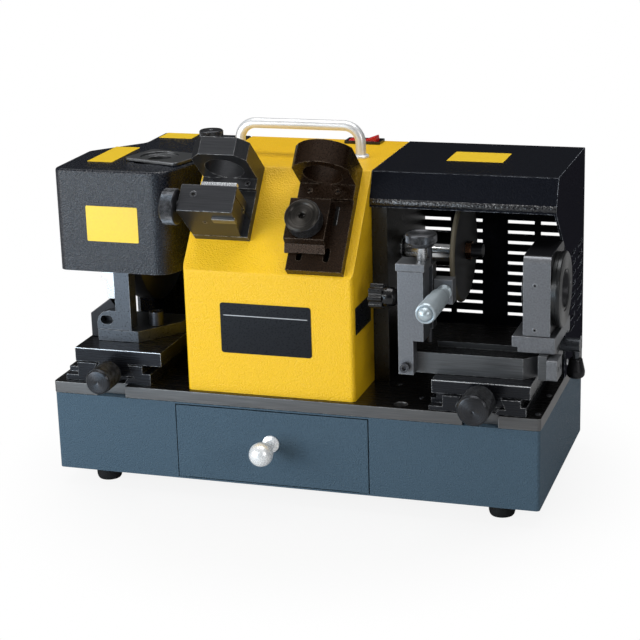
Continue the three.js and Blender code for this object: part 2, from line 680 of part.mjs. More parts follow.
function makeShaft() {
  const left = leftWheelFace + leftWheel.cupDepth - clearance;
  const right = rightWheelEnd + arbor.reach;
  const shaft = turned('x', [
    [0, left], [spindle.radius, left], [spindle.radius, rightHubEnd], [arbor.radius, rightHubEnd],
    [arbor.radius, right], [0, right],
  ], [0, 0], smallSides);
  return piece('motor_shaft', shaft, finishes.darkSteel);
}

function makeLeftWheel() {
  const bore = spindle.radius + clearance;
  const taperStart = leftWheelRight - leftWheel.taper;
  const cupFloor = leftWheelFace + leftWheel.cupDepth;
  const hubEnd = housing.left - leftWheel.hubGap;
  const wheel = ring('x', bore, [
    [leftWheel.cupRadius, cupFloor], [leftWheel.cupRadius, leftWheelFace],
    [leftWheel.radius, leftWheelFace], [leftWheel.radius, taperStart],
    [leftWheel.taperRadius, leftWheelRight], [leftWheel.hubRadius, leftWheelRight],
    [leftWheel.hubRadius, hubEnd],
  ], [0, 0], roundSides);
  return piece('left_cup_wheel', wheel, finishes.abrasive);
}

function makeRightWheel() {
  const shaftBore = spindle.radius + clearance;
  const arborBore = arbor.radius + clearance;
  const { hubRadius, radius } = rightWheel;
  const hub = ring('x', shaftBore, [[hubRadius, rightHubStart], [hubRadius, rightHubEnd]], [0, 0]);
  const disc = ring('x', arborBore, [[radius, rightWheelStart], [radius, rightWheelEnd]], [0, 0]);
  const nutStart = rightWheelEnd + clearance;
  const nutProfile = [[arbor.nutRadius, nutStart], [arbor.nutRadius, nutStart + arbor.nutLength]];
  const nut = ring('x', arborBore, nutProfile, [0, 0], arbor.nutSides * 3);
  const flats = prism('x', Array.from({ length: arbor.nutSides }, (_, side) => {
    const angle = (2 * Math.PI * side) / arbor.nutSides;
    return [arbor.nutRadius * Math.cos(angle), arbor.nutRadius * Math.sin(angle)];
  }), nutStart, nutStart + arbor.nutLength);
  return [
    piece('right_wheel_hub', hub, finishes.brightSteel),
    piece('right_grinding_wheel', disc, finishes.abrasive),
    piece('arbor_nut', nut.intersect(flats), finishes.brass),
  ];
}

function makeFlange() {
  const start = chamberRight + clearance;
  const face = start + flange.thickness;
  const profile = [[flange.radius, start], [flange.radius, face]];
  const disc = ring('x', spindle.radius + clearance, profile, [0, 0]);
  return piece('spindle_flange', disc, finishes.brightSteel);
}

function makeSpindle() {
  const onAxis = group(makeMotor(), makeShaft(), makeLeftWheel(), ...makeRightWheel(), makeFlange());
  onAxis.position.set(0, spindleY, spindle.z);
  return onAxis;
}

// Right chamber: the panel follows the cover's folded lip at a gap, open at its left, back and foot
function coverOutline() {
  const c = rightCover;
  const { top, back } = housing;
  return [
    [back, 0], [back, top, c.sheet], [c.topFront, top, c.sheet], [c.lipY, c.lipBend], [c.lipY, c.lipEnd],
    [c.slantHighY, c.slantHigh], [c.slantLowY, c.slantLow], [c.panelFront, c.panelShoulder],
    [c.panelFront, 0],
  ];
}

function makeChamberWall() {
  const { front, sheet } = chamber;
  const within = inset(coverOutline(), rightCover.sheet + clearance);
  const [[back], [, top], [lipTopY, lipTopZ], [bendY, bendZ]] = within;
  const shoulder = bendZ + ((front - bendY) * (lipTopZ - bendZ)) / (lipTopY - bendY);
  const outline = [[front, 0], [back, 0], [back, top], [lipTopY, top], [front, shoulder]];
  const hollow = prism('x', inset(outline, sheet), chamberLeft - overrun, chamberRight - sheet);
  const mouth = box(
    chamberLeft - overrun, chamberRight - sheet, front + sheet, back + overrun, -overrun, shoulder - sheet,
  );
  const hole = rod(
    'x', spindle.radius + clearance, chamberLeft - overrun, chamberRight + overrun,
    [spindleY, spindle.z], smallSides,
  );
  const block = prism('x', outline, chamberLeft, chamberRight);
  return piece('chamber_wall', cut(block, hollow, mouth, hole), finishes.oliveGrey);
}

function makeRightCover() {
  const c = rightCover;
  const { top, back } = housing;
  const left = chamberLeft;
  const right = deckHalf + c.proud;
  const outline = coverOutline();
  const [, , topCorner, bendCorner] = inset(outline, c.sheet);
  const open = [
    [c.lipY - overrun, -overrun], [back - c.sheet, -overrun], [back - c.sheet, top - c.sheet],
    topCorner.slice(0, 2), bendCorner.slice(0, 2), [c.lipY + c.sheet, c.lipEnd],
    [c.lipY - overrun, c.lipEnd],
  ];
  const shell = cut(
    prism('x', outline, left, right),
    prism('x', open, left - overrun, right - c.sheet),
  );
  const hem = rod('x', c.hem, left, right, [c.lipY + c.hem, c.lipEnd + c.hem], smallSides);
  const slots = [];
  for (let row = 0; row < backSlots.rows; row += 1) {
    const low = backSlots.first + row * backSlots.pitch;
    backSlots.starts.forEach((start) => {
      const x = left + start;
      slots.push(box(x, x + backSlots.width, back - overrun, back + overrun, low, low + backSlots.height));
    });
  }
  for (let row = 0; row < sideSlots.rows; row += 1) {
    const low = sideSlots.first + row * sideSlots.pitch;
    sideSlots.starts.forEach((y) => {
      slots.push(box(right - overrun, right + overrun, y, y + sideSlots.width, low, low + sideSlots.height));
    });
  }
  return piece('right_cover', cut(join(shell, hem), ...slots), finishes.blackWrinkle);
}

// Left cover
function leftCoverPlan() {
  const c = leftCover;
  const frontRight = coverLeft + c.frontWidth;
  return [
    [coverLeft, coverFront, c.leftCorner],
    [frontRight, coverFront, c.rightCorner],
    [frontRight, c.bendStart, c.bendRadius / 2],
    [coverRight, c.rightBendEnd, c.bendRadius / 2],
    [coverRight, housing.back, c.leftCorner / 2],
    [coverLeft + c.leftNarrowing, housing.back, c.leftCorner / 2],
    [coverLeft + c.leftNarrowing, c.leftBendEnd, c.bendRadius],
    [coverLeft, c.bendStart, c.bendRadius],
  ];
}

function makeLeftCover() {
  const c = leftCover;
  const plan = leftCoverPlan();
  const { top } = housing;
  const shell = cut(prism('z', plan, 0, top), prism('z', inset(plan, c.sheet), -overrun, top - c.sheet));
  const skirt = box(
    coverLeft - overrun, coverRight + overrun, coverFront - overrun, c.skirtBack, -overrun, c.skirt,
  );
  const windowPlan = rectangle(
    holderX - c.windowHalf, holderX + c.windowHalf, holder.y - c.windowFront, holder.y + c.windowBack,
    c.windowCorner,
  );
  const window = prism('z', windowPlan, top - overrun, top + overrun);
  const hubRoom = leftWheel.hubRadius + c.hubMargin;
  const rightSide = [coverLeft + c.frontWidth - overrun, coverRight + overrun];
  const hubHole = rod('x', hubRoom, ...rightSide, [spindleY, spindle.z]);
  const hubSlot = box(...rightSide, spindleY - hubRoom, spindleY + hubRoom, c.skirt - overrun, spindle.z);
  return piece('left_cover', cut(shell, skirt, window, hubHole, hubSlot), finishes.blackWrinkle);
}

function makeCoverKnob() {
  const k = coverKnob;
  const seat = housing.top + clearance;
  const knob = turned('z', [
    [0, seat], [k.neckRadius, seat], [k.neckRadius, seat + k.neckHeight],
    [k.radius, seat + k.neckHeight], [k.radius, seat + k.height], [0, seat + k.height],
  ], [0, 0], roundSides);
  const mesh = piece('left_cover_knob', knob, finishes.darkSteel);
  mesh.position.set(k.x, k.y, 0);
  return mesh;
}

// A slide base with a dovetail groove along Y, and the table that runs in it, about the screw's X
function slideBase(name, sizes, screwHeight) {
  const s = sizes;
  const low = box(-s.left, s.right, s.front, s.back, 0, s.flangeHeight);
  const high = box(-s.neckLeft, s.neckRight, s.front, s.back, s.flangeHeight - clearance, s.height);
  const grooveTop = s.grooveHalf - s.grooveLean;
  const groove = prism('y', [
    [-s.grooveHalf, s.grooveFloor], [s.grooveHalf, s.grooveFloor], [grooveTop, s.height],
    [grooveTop, s.height + overrun], [-grooveTop, s.height + overrun], [-grooveTop, s.height],
  ], s.front - overrun, s.back + overrun);
  const pocket = rod('y', s.pocketRadius, s.front - overrun, s.front + s.pocketDepth, [0, screwHeight]);
  const step = box(
    -s.left - overrun, s.stepWidth - s.left, s.front - overrun, s.front + s.stepDepth,
    s.flangeHeight - s.stepDrop, s.flangeHeight + overrun,
  );
  return piece(name, cut(join(low, high), groove, pocket, step), finishes.darkSteel);
}

function slideTable(name, sizes, base, screwHeight) {
  const t = sizes;
  const bottom = base.height + clearance;
  const plate = box(-t.left, t.right, t.front, t.back, bottom, bottom + t.height);
  const half = base.grooveHalf - clearance * 2;
  const narrow = half - base.grooveLean;
  const tongue = prism('y', [
    [-half, base.grooveFloor + clearance], [half, base.grooveFloor + clearance],
    [narrow, base.height], [narrow, bottom + clearance], [-narrow, bottom + clearance],
    [-narrow, base.height],
  ], t.front, t.back);
  const bore = rod('y', t.bore, t.front - overrun, t.back + overrun, [0, screwHeight], smallSides);
  return piece(name, cut(join(plate, tongue), bore), finishes.darkSteel);
}

function feedKnob(name, sizes, screwHeight) {
  const k = sizes;
  const knob = turned('y', [
    [0, -k.length + k.dish], [k.dishRadius, -k.length + k.dish], [k.dishRadius + k.dish, -k.length],
    [k.radius - k.bevel, -k.length], [k.radius, -k.length + k.bevel], [k.radius, -k.bevel],
    [k.radius - k.bevel, 0], [k.screwRadius, 0], [k.screwRadius, k.screwLength], [0, k.screwLength],
  ], [0, 0]);
  const mesh = piece(name, knob, finishes.darkSteel);
  mesh.position.z = screwHeight;
  return mesh;
}

// Left station's casting: foot, column, arm and clamping ring, with a pierced web on its left
function makeBracket() {
  const b = bracket;
  const footOutline = [
    [-b.footLeft, b.footFront, 2 * clearance], [b.noseRight, b.footFront], [b.footRight, b.slantBack],
    [b.footRight, b.footBack], [-b.footLeft, b.footBack],
  ];
  const footPlate = cut(
    prism('z', footOutline, bracketBottom, bracketFootTop),
    rod('z', capScrew.shankRadius + clearance, bracketBottom - overrun, bracketFootTop + overrun,
      [capScrew.x, capScrew.y], smallSides),
  );
  const column = box(
    -b.columnLeft, b.columnRight, columnFront, columnBack, bracketFootTop - clearance, bracketTop,
  );
  const armLeft = (b.columnRight - b.columnLeft) / 2 - b.armWidth / 2;
  const spread = b.armSpread;
  const arm = prism('z', [
    [armLeft, columnFront], [armLeft + b.armWidth, columnFront],
    [holder.x + spread, holder.y - spread], [holder.x - spread, holder.y + spread],
  ], armBottom, bracketTop);
  const clampRing = rod('z', b.ringRadius, armBottom, bracketTop, [holder.x, holder.y]);
  const bore = rod(
    'z', holder.neckRadius + clearance, armBottom - overrun, bracketTop + overrun, [holder.x, holder.y],
  );
  const webTop = bracketFootTop + b.webHeight;
  const webOutline = [
    [-b.webLeft, bracketFootTop - clearance], [0, bracketFootTop - clearance], [0, webTop],
    [-b.webLeft, webTop, b.webCorner],
  ];
  const holeHalf = b.webHoleLong / 2;
  const holeX = -(b.webLeft + b.columnLeft) / 2;
  const holeZ = bracketFootTop + b.webHeight / 2;
  const hole = prism('y', rectangle(
    holeX - holeHalf, holeX + holeHalf, holeZ - b.webHoleTall / 2, holeZ + b.webHoleTall / 2,
    b.webHoleTall / 2 - clearance,
  ), columnFront - overrun, columnFront + b.webThickness + overrun);
  const web = cut(prism('y', webOutline, columnFront, columnFront + b.webThickness), hole);
  return piece('left_bracket', cut(join(footPlate, column, arm, clampRing, web), bore), finishes.castGrey);
}

function makeAnglePlate() {
  const a = anglePlate;
  const low = leftTableTop + clearance;
  const footEdge = -bracket.footLeft - clearance;
  const onFoot = bracketFootTop + clearance;
  const right = -a.right - bracket.columnLeft / 2;
  const outline = [
    [-a.left, low], [footEdge, low], [footEdge, onFoot], [right, onFoot],
    [right, low + a.rightHeight], [-a.peak, low + a.peakHeight], [-a.left, low + a.leftHeight],
  ];
  const plate = prism('y', outline, a.front + clearance, a.front + a.thickness);
  return piece('left_angle_plate', plate, finishes.blackOxide);
}

function makeScaleArm() {
  const a = scaleArm;
  const low = leftTableTop + clearance + anglePlate.peakHeight + clearance;
  const right = -bracket.columnLeft - clearance;
  const outline = [
    [-a.left, low], [right, low], [right, low + a.height], [-a.wideLeft, low + a.height],
    [-a.wideLeft, low + a.shoulder], [-a.left, low + a.shoulder],
  ];
  return piece('left_scale_arm', prism('y', outline, a.front, a.front + a.thickness), finishes.brightSteel);
}

// A socket-head cap screw, head down the named axis, drawn from the seat outwards
function socketScrew(name, axis, seat, outwards, sizes, across) {
  const s = sizes;
  const along = (distance) => seat + outwards * distance;
  const floor = along(s.headHeight - s.socketDepth);
  const screw = turned(axis, [
    [0, along(-s.shankLength)], [s.shankRadius, along(-s.shankLength)], [s.shankRadius, seat],
    [s.headRadius, seat], [s.headRadius, along(s.headHeight)], [s.socket, along(s.headHeight)],
    [s.socket, floor], [0, floor],
  ], across, smallSides);
  return piece(name, screw, finishes.darkSteel);
}

// Left chuck holder: a plate with a seat, longer on one side, on a neck through the cover's window
function makeHolder() {
  const bottom = housing.top + holder.lift;
  const neckBottom = armBottom - clearance;
  const top = bottom + holder.thickness;
  const outline = rectangle(-holder.left, holder.right, -holder.half, holder.half, holder.corner);
  const plate = prism('z', outline, bottom, top);
  const neck = rod('z', holder.neckRadius, neckBottom, bottom + holder.thickness / 2, [0, 0]);
  const seat = rod('z', holder.bore, bottom + clearance, top + overrun, [0, 0]);
  const bore = rod('z', holder.neckBore, neckBottom - overrun, bottom + overrun, [0, 0]);
  const mesh = piece('left_chuck_holder', cut(join(plate, neck), seat, bore), finishes.darkSteel);
  mesh.position.set(holder.x, holder.y, 0);
  mesh.rotation.z = THREE.MathUtils.degToRad(holder.turnDegrees);
  return mesh;
}

function makeLeftStation() {
  const screwSeat = bracketFootTop + clearance;
  const station = group(
    slideBase('left_slide_base', leftBase, leftStation.screwHeight),
    slideTable('left_table', leftTable, leftBase, leftStation.screwHeight),
    feedKnob('left_feed_knob', leftKnob, leftStation.screwHeight),
    makeBracket(),
    makeAnglePlate(),
    makeScaleArm(),
    socketScrew('left_bracket_screw', 'z', screwSeat, 1, capScrew, [capScrew.x, capScrew.y]),
    makeHolder(),
  );
  station.position.x = leftX;
  return station;
}

// Right station: bed, end plate, carriage and chuck
function railOutline() {
  const { railMiddle, railHalf, railLean } = bed;
  const narrow = railHalf - railLean;
  return [
    [railMiddle - narrow, bedTop], [railMiddle + narrow, bedTop],
    [railMiddle + railHalf, railTop], [railMiddle - railHalf, railTop],
  ];
}

function makeBed() {
  const plan = [
    [bedLeft, bed.front], [bedRight - bed.chamfer, bed.front], [bedRight, bed.front + bed.chamfer],
    [bedRight, bed.back], [bedLeft, bed.back],
  ];
  const slab = prism('z', plan, bedBottom, bedTop);
  const rail = prism('x', railOutline(), rightX - bed.railLeft, bedRight);
  const tapped = rod(
    'y', restScrew.bore, bed.front - overrun, restBody.front + restScrew.shankLength + clearance * 2,
    [bedLeft + restScrew.x, restScrew.z], smallSides,
  );
  return piece('bed', cut(join(slab, rail), tapped), finishes.darkSteel);
}

function makeEndPlate() {
  const plate = box(
    endPlateLeft, endPlateRight, bed.front, endPlate.back, bedBottom + endPlate.rise, bedTop + endPlate.top,
  );
  return piece('bed_end_plate', plate, finishes.castGrey);
}

function makeStopBlock() {
  const start = endPlateRight + clearance;
  const outline = rectangle(
    stopBlock.front, stopBlock.back, bedBottom + stopBlock.rise, bedTop + stopBlock.drop, stopBlock.corner,
  );
  return piece('stop_block', prism('x', outline, start, start + stopBlock.length), finishes.castGrey);
}

function makeCarriage() {
  const lowerBottom = bedTop + carriage.lowerRise;
  const upperBottom = bedTop + carriage.upperRise;
  const { front, back } = carriage;
  const upper = box(carriageLeft, carriageRight, front, back, upperBottom, carriageTop);
  const lower = box(
    carriageRight - carriage.lowerWidth, carriageRight, front, back, lowerBottom, upperBottom + clearance,
  );
  const groove = prism(
    'x', inset(railOutline(), -clearance), carriageLeft - overrun, carriageRight + overrun,
  );
  return piece('chuck_carriage', cut(join(upper, lower), groove), finishes.darkSteel);
}

function makeBearingHousing() {
  const top = bearingBottom + bearing.height;
  const outline = [
    [bearing.front, bearingBottom], [bearing.back, bearingBottom], [bearing.back, top, bearing.corner],
    [bearing.front, top, bearing.corner],
  ];
  const block = prism('x', outline, bearingLeft, bearingRight);
  const bore = rod(
    'x', chuck.radius + clearance, bearingLeft - overrun, bearingRight + overrun, [chuck.y, chuck.z],
  );
  return piece('bearing_housing', cut(block, bore), finishes.castGrey);
}

function makeChuckSleeve() {
  const tail = bearingLeft - chuck.tail;
  const seat = bearingRight + clearance;
  const face = seat + chuck.flangeThickness;
  const sleeve = ring('x', chuck.bore, [
    [chuck.radius, tail], [chuck.radius, seat], [chuck.flangeRadius, seat],
    [chuck.flangeRadius, face - chuck.bevel], [chuck.flangeRadius - chuck.bevel, face],
  ], [0, 0]);
  const mesh = piece('chuck_sleeve', sleeve, finishes.brightSteel);
  mesh.position.set(0, chuck.y, chuck.z);
  return mesh;
}

function makeClampLever() {
  const start = endPlateRight + clearance;
  const hub = rod('x', lever.hubRadius, start, start + lever.hubLength, [0, 0], smallSides);
  const stemX = start + lever.stemX;
  const stem = rod('z', lever.stemRadius, -lever.stemReach, 0, [stemX, 0], smallSides);
  const grip = turned('z', [
    [0, -lever.gripBottom], [lever.gripRadius, -lever.gripBottom], [lever.gripTopRadius, -lever.gripTop],
    [0, -lever.gripTop],
  ], [stemX, 0], smallSides);
  const socket = rod(
    'z', lever.stemRadius + lever.socketMargin, -lever.stemReach - clearance, -lever.gripTop + overrun,
    [stemX, 0], smallSides,
  );
  const parts = group(
    piece('clamp_lever', join(hub, stem), finishes.brightSteel),
    piece('clamp_lever_grip', cut(grip, socket), finishes.blackPlastic),
  );
  parts.position.set(0, lever.y, lever.z);
  return parts;
}

// Tooth rest: bracket, cap, vertical slide and its two knobs
function makeRestBracket() {
  const r = restBody;
  const body = box(bedLeft, restRight, r.front, restBack, r.bottom, r.top);
  const leg = box(
    bedLeft, bedLeft + r.legWidth, r.front, bed.front - clearance, r.legBottom, r.bottom + clearance,
  );
  const stemHole = rod(
    'z', r.stemBore, r.top - r.stemDepth - clearance, r.top + overrun,
    [bedLeft + thumbKnob.x, thumbKnob.y], smallSides,
  );
  const studHole = rod(
    'x', r.studBore, bedLeft - overrun, bedLeft + r.studDepth, [sideKnob.y, sideKnob.z], smallSides,
  );
  const screwHole = rod(
    'y', restScrew.bore, r.front - overrun, bed.front + overrun,
    [bedLeft + restScrew.x, restScrew.z], smallSides,
  );
  return piece('tooth_rest_bracket', cut(join(body, leg), stemHole, studHole, screwHole), finishes.castGrey);
}

function makeRestCap() {
  const c = restCap;
  const plate = box(
    bedLeft - c.sideMargin, restRight + c.sideMargin, restBody.front - c.frontMargin, restBack,
    restCapBottom, restCapTop,
  );
  const hole = rod(
    'z', restBody.stemBore, restCapBottom - overrun, restCapTop + overrun,
    [bedLeft + thumbKnob.x, thumbKnob.y], smallSides,
  );
  return piece('tooth_rest_cap', cut(plate, hole), finishes.castGrey);
}

function makeRestSlide() {
  const s = restSlide;
  const plate = box(slideLeft, slideRight, slideFront, slideBack, s.bottom, s.top);
  const guide = rod(
    'z', s.rodRadius, s.rodBottom, s.rodTop, [bedLeft + s.rodX, slideFront + s.rodInset], smallSides,
  );
  return piece('tooth_rest_slide', join(plate, guide), finishes.darkSteel);
}

function makeThumbKnob() {
  const k = thumbKnob;
  const stemEnd = restBody.top - restBody.stemDepth;
  const low = restCapTop + k.gap;
  const knob = turned('z', [
    [0, stemEnd], [k.stemRadius, stemEnd], [k.stemRadius, low], [k.neckRadius, low],
    [k.radius, low + k.cone], [k.radius, low + k.height - k.bevel],
    [k.radius - k.bevel, low + k.height], [0, low + k.height],
  ], [0, 0]);
  const mesh = piece('thumb_knob', knob, finishes.darkSteel);
  mesh.position.set(bedLeft + k.x, k.y, 0);
  return mesh;
}

function makeSideKnob() {
  const k = sideKnob;
  const tip = bedLeft - clearance;
  const barrelRight = tip - k.nose;
  const barrelLeft = barrelRight - k.barrelLength;
  const left = barrelLeft - k.discLength;
  const knob = turned('x', [
    [0, left], [k.discRadius, left], [k.discRadius, barrelLeft], [k.barrelRadius, barrelLeft],
    [k.barrelRadius, barrelRight], [k.noseRadius, tip], [k.studRadius, tip],
    [k.studRadius, tip + k.studLength], [0, tip + k.studLength],
  ], [0, 0], roundSides);
  const mesh = piece('side_knob', knob, finishes.darkSteel);
  mesh.position.set(0, k.y, k.z);
  return mesh;
}

// Micrometer head, on its own axis along Y
function makeMicrometer() {
  const holderBlock = cut(
    box(micHolderLeft, micHolderRight, micHolder.front, micHolder.back, micHolder.bottom, micHolder.top),
    rod('y', micSleeve.seatRadius + clearance, micFront - overrun, micHolder.back + overrun,
      [micX, micHolder.axisZ], smallSides),
  );
  const m = micThimble;
  const sleeve = ring('y', micSleeve.bore, [
    [micSleeve.radius, -micSleeve.reach], [micSleeve.radius, -micSleeve.collar],
    [micSleeve.collarRadius, -micSleeve.collar], [micSleeve.collarRadius, -clearance],
    [micSleeve.seatRadius, -clearance], [micSleeve.seatRadius, micHolder.back - micFront],
  ], [0, 0], smallSides);
  const rodSolid = rod(
    'y', micSpindle.radius, -micSleeve.reach - micSpindle.front / 3, micSpindle.back - micFront, [0, 0],
    smallSides,
  );
  const inner = micSleeve.radius + clearance;
  const floor = -m.end + m.wall + m.dome;
  const thimble = turned('y', [
    [0, -m.end - m.dome / 2], [m.domeRadius / 2, -m.end - m.dome / 3], [m.domeRadius, -m.end],
    [m.radius - m.wall / 2, -m.end], [m.radius, -m.end + m.wall / 2], [m.radius, -m.start - m.bevel],
    [inner + m.wall / 4, -m.start], [inner, -m.start], [inner, floor], [0, floor],
  ], [0, 0]);
  const head = group(
    piece('micrometer_sleeve', sleeve, finishes.satinChrome),
    piece('micrometer_spindle', rodSolid, finishes.brightSteel),
    piece('micrometer_thimble', thimble, finishes.satinChrome),
  );
  head.position.set(micX, micFront, micHolder.axisZ);
  return [piece('micrometer_holder', holderBlock, finishes.castGrey), head];
}

function makeRightStation() {
  const alongScrew = group(
    slideBase('right_slide_base', rightBase, rightStation.screwHeight),
    slideTable('right_table', rightTable, rightBase, rightStation.screwHeight),
    feedKnob('right_feed_knob', rightKnob, rightStation.screwHeight),
  );
  alongScrew.position.x = rightX;
  const screwSeat = restBody.front - clearance;
  return group(
    alongScrew,
    makeBed(),
    makeEndPlate(),
    makeStopBlock(),
    makeCarriage(),
    makeBearingHousing(),
    makeChuckSleeve(),
    makeClampLever(),
    makeRestBracket(),
    makeRestCap(),
    makeRestSlide(),
    makeThumbKnob(),
    makeSideKnob(),
    socketScrew('tooth_rest_screw', 'y', screwSeat, -1, restScrew, [bedLeft + restScrew.x, restScrew.z]),
    ...makeMicrometer(),
  );
}

// Left fixture on the slope: ring block, clamp block and its knob
function makeLeftJig() {
  const j = leftJig;
  const low = clearance;
  const left = leftJigLeft;
  const right = leftJigRight;
  const plate = box(left, right, j.low, j.high, low, j.plate);
  const ledge = box(left, right, j.ledgeLow, j.ringLow + clearance, j.plate - clearance, j.ledge);
  const ringBlock = prism('y', [
    [left, low], [right, low], [right, j.shoulder], [right - j.flatInset, j.ringHeight],
    [left + j.flatInset, j.ringHeight], [left, j.shoulder],
  ], j.ringLow, j.high);
  const middle = (left + right) / 2;
  const bore = rod('y', j.boreRadius, j.ledgeLow - overrun, j.high + overrun, [middle, j.boreN]);
  return piece('left_jig_body', cut(join(plate, ledge, ringBlock), bore), finishes.darkSteel);
}

function makeLeftJigBlock() {
  const b = leftJigBlock;
  const k = leftJigKnob;
  const right = leftJigRight;
  const bottom = leftJig.plate + clearance;
  const block = prism('x', [
    [b.low, bottom], [b.high, bottom], [b.highTop, b.height], [b.lowTop, b.height],
  ], leftJigLeft, right);
  const undercut = prism('y', [
    [right - b.undercut, bottom - clearance], [right + overrun, bottom - clearance],
    [right + overrun, b.height], [right, b.height],
  ], b.low - overrun, b.high + overrun);
  const holeEnd = leftJigLeft + k.studLength + clearance;
  const studHole = rod(
    'x', k.studRadius + k.studMargin, leftJigLeft - overrun, holeEnd, [k.s, k.n], smallSides,
  );
  return piece('left_jig_block', cut(block, undercut, studHole), finishes.darkSteel);
}

function makeLeftJigKnob() {
  const k = leftJigKnob;
  const seat = leftJigLeft - clearance;
  const disc = seat - k.neck;
  const left = disc - k.thickness;
  const knob = turned('x', [
    [0, left], [k.radius - k.bevel, left], [k.radius, left + k.bevel], [k.radius, disc - k.bevel],
    [k.radius - k.bevel, disc], [k.neckRadius, disc], [k.neckRadius, seat], [k.studRadius, seat],
    [k.studRadius, seat + k.studLength], [0, seat + k.studLength],
  ], [0, 0]);
  const mesh = piece('left_jig_knob', knob, finishes.darkSteel);
  mesh.position.set(0, k.s, k.n);
  return mesh;
}

// Right fixture on the slope: arched ring, sliding block and its lock knob
function makeRightJig() {
  const j = rightJig;
  const low = clearance;
  const left = rightJigLeft;
  const right = rightJigRight;
  const plate = box(left, right, j.low, j.high, low, j.plate);
  const ledge = box(left, right, j.ledgeLow, j.ringLow + clearance, j.plate - clearance, j.ledge);
  const half = j.width / 2;
  const rise = j.ringHeight - j.shoulder;
  const archRadius = (half ** 2 + rise ** 2) / (2 * rise);
  const middle = left + half;
  const spread = Math.asin(half / archRadius);
  const arch = [];
  for (let step = 0; step <= 3 * cornerSteps; step += 1) {
    const angle = spread - (2 * spread * step) / (3 * cornerSteps);
    arch.push([
      middle + archRadius * Math.sin(angle),
      j.ringHeight - archRadius + archRadius * Math.cos(angle),
    ]);
  }
  const ringBlock = prism('y', [[left, low], [right, low], ...arch], j.ringLow, j.high);
  const bore = rod('y', j.boreRadius, j.ledgeLow - overrun, j.high + overrun, [middle, j.boreN]);
  const slot = (x, from, to, width) => prism(
    'z', rectangle(x - width / 2, x + width / 2, from, to, width / 2 - clearance),
    -overrun, j.plate + overrun,
  );
  const slotPlaces = [left + j.slotLeft, left + j.slotRight];
  const slots = slotPlaces.map((x) => slot(x, j.slotLow, j.slotHigh, j.slotWidth));
  const keyWidth = 2 * (rightJigKnob.studRadius + rightJigKnob.studMargin);
  const keyway = slot(jigKnobX, j.keyLow, j.keyHigh, keyWidth);
  const body = cut(join(plate, ledge, ringBlock), bore, ...slots, keyway);
  return piece('right_jig_body', body, finishes.blackOxide);
}

function makeRightJigSlider() {
  const s = rightJigSlider;
  const k = rightJigKnob;
  const bottom = rightJig.plate + clearance;
  const block = prism('x', [
    [s.rampLow, bottom], [s.high, bottom], [s.high, s.top], [s.low, s.top],
    [s.low - s.kneeBack, s.rampKnee], [s.rampLow, s.rampTop],
  ], jigSliderLeft, jigSliderRight);
  const studHole = rod(
    'z', k.studRadius + k.studMargin, bottom - overrun, s.top + overrun, [jigKnobX, k.s], smallSides,
  );
  return piece('right_jig_slider', cut(block, studHole), finishes.blackOxide);
}

function makeRightJigKnob() {
  const k = rightJigKnob;
  const seat = rightJigSlider.top + clearance;
  const top = seat + k.height;
  const studEnd = rightJig.plate + k.studLift;
  const knob = turned('z', [
    [0, studEnd], [k.studRadius, studEnd], [k.studRadius, seat], [k.radius - k.bevel, seat],
    [k.radius, seat + k.bevel], [k.radius, top - k.bevel], [k.radius - k.bevel, top],
    [k.dishRadius, top], [k.dishRadius - k.dish, top - k.dish], [k.hole, top - k.dish],
    [k.hole, top - k.holeDepth], [0, top - k.holeDepth],
  ], [0, 0]);
  const mesh = piece('right_jig_knob', knob, finishes.darkSteel);
  mesh.position.set(jigKnobX, k.s, 0);
  return mesh;
}

function makeSlopeFixtures() {
  const fixtures = group(
    makeLeftJig(), makeLeftJigBlock(), makeLeftJigKnob(),
    makeRightJig(), makeRightJigSlider(), makeRightJigKnob(),
  );
  fixtures.position.set(0, housing.front, housing.breakHeight);
  fixtures.rotation.x = slopeAngle;
  return fixtures;
}

const grinder = group(
  makeCabinet(),
  ...makeFeet(),
  makeDrawer(),
  makeDrawerKnob(),
  makeDeck(),
  ...makeHousing(),
  makeHandle(),
  ...makeSwitch(),
  makeInlet(),
  makeSpindle(),
  makeChamberWall(),
  makeRightCover(),
  makeLeftCover(),
  makeCoverKnob(),
  makeLeftStation(),
  makeRightStation(),
  makeSlopeFixtures(),
);

// The origin is the middle of the whole object's footprint, at floor level
const part = group(grinder);
part.updateMatrixWorld(true);
const bounds = new THREE.Box3().setFromObject(part, true);
const centre = bounds.getCenter(new THREE.Vector3());
grinder.position.set(-centre.x, -centre.y, -bounds.min.z);

export default part;
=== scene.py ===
# %% [markdown]
# An end mill grinder, dressed over its measured solids.
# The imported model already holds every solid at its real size, so this lesson only gives each one the edges,
# turned faces, knurls, scales and finishes that the real machine has. Everything stays in metres in the
# model's own frame, and a piece that is made anew takes its place from the solid it stands for.

# %% Load the measured frame
import json
import math
import bmesh
import bpy
from mathutils import Matrix, Vector


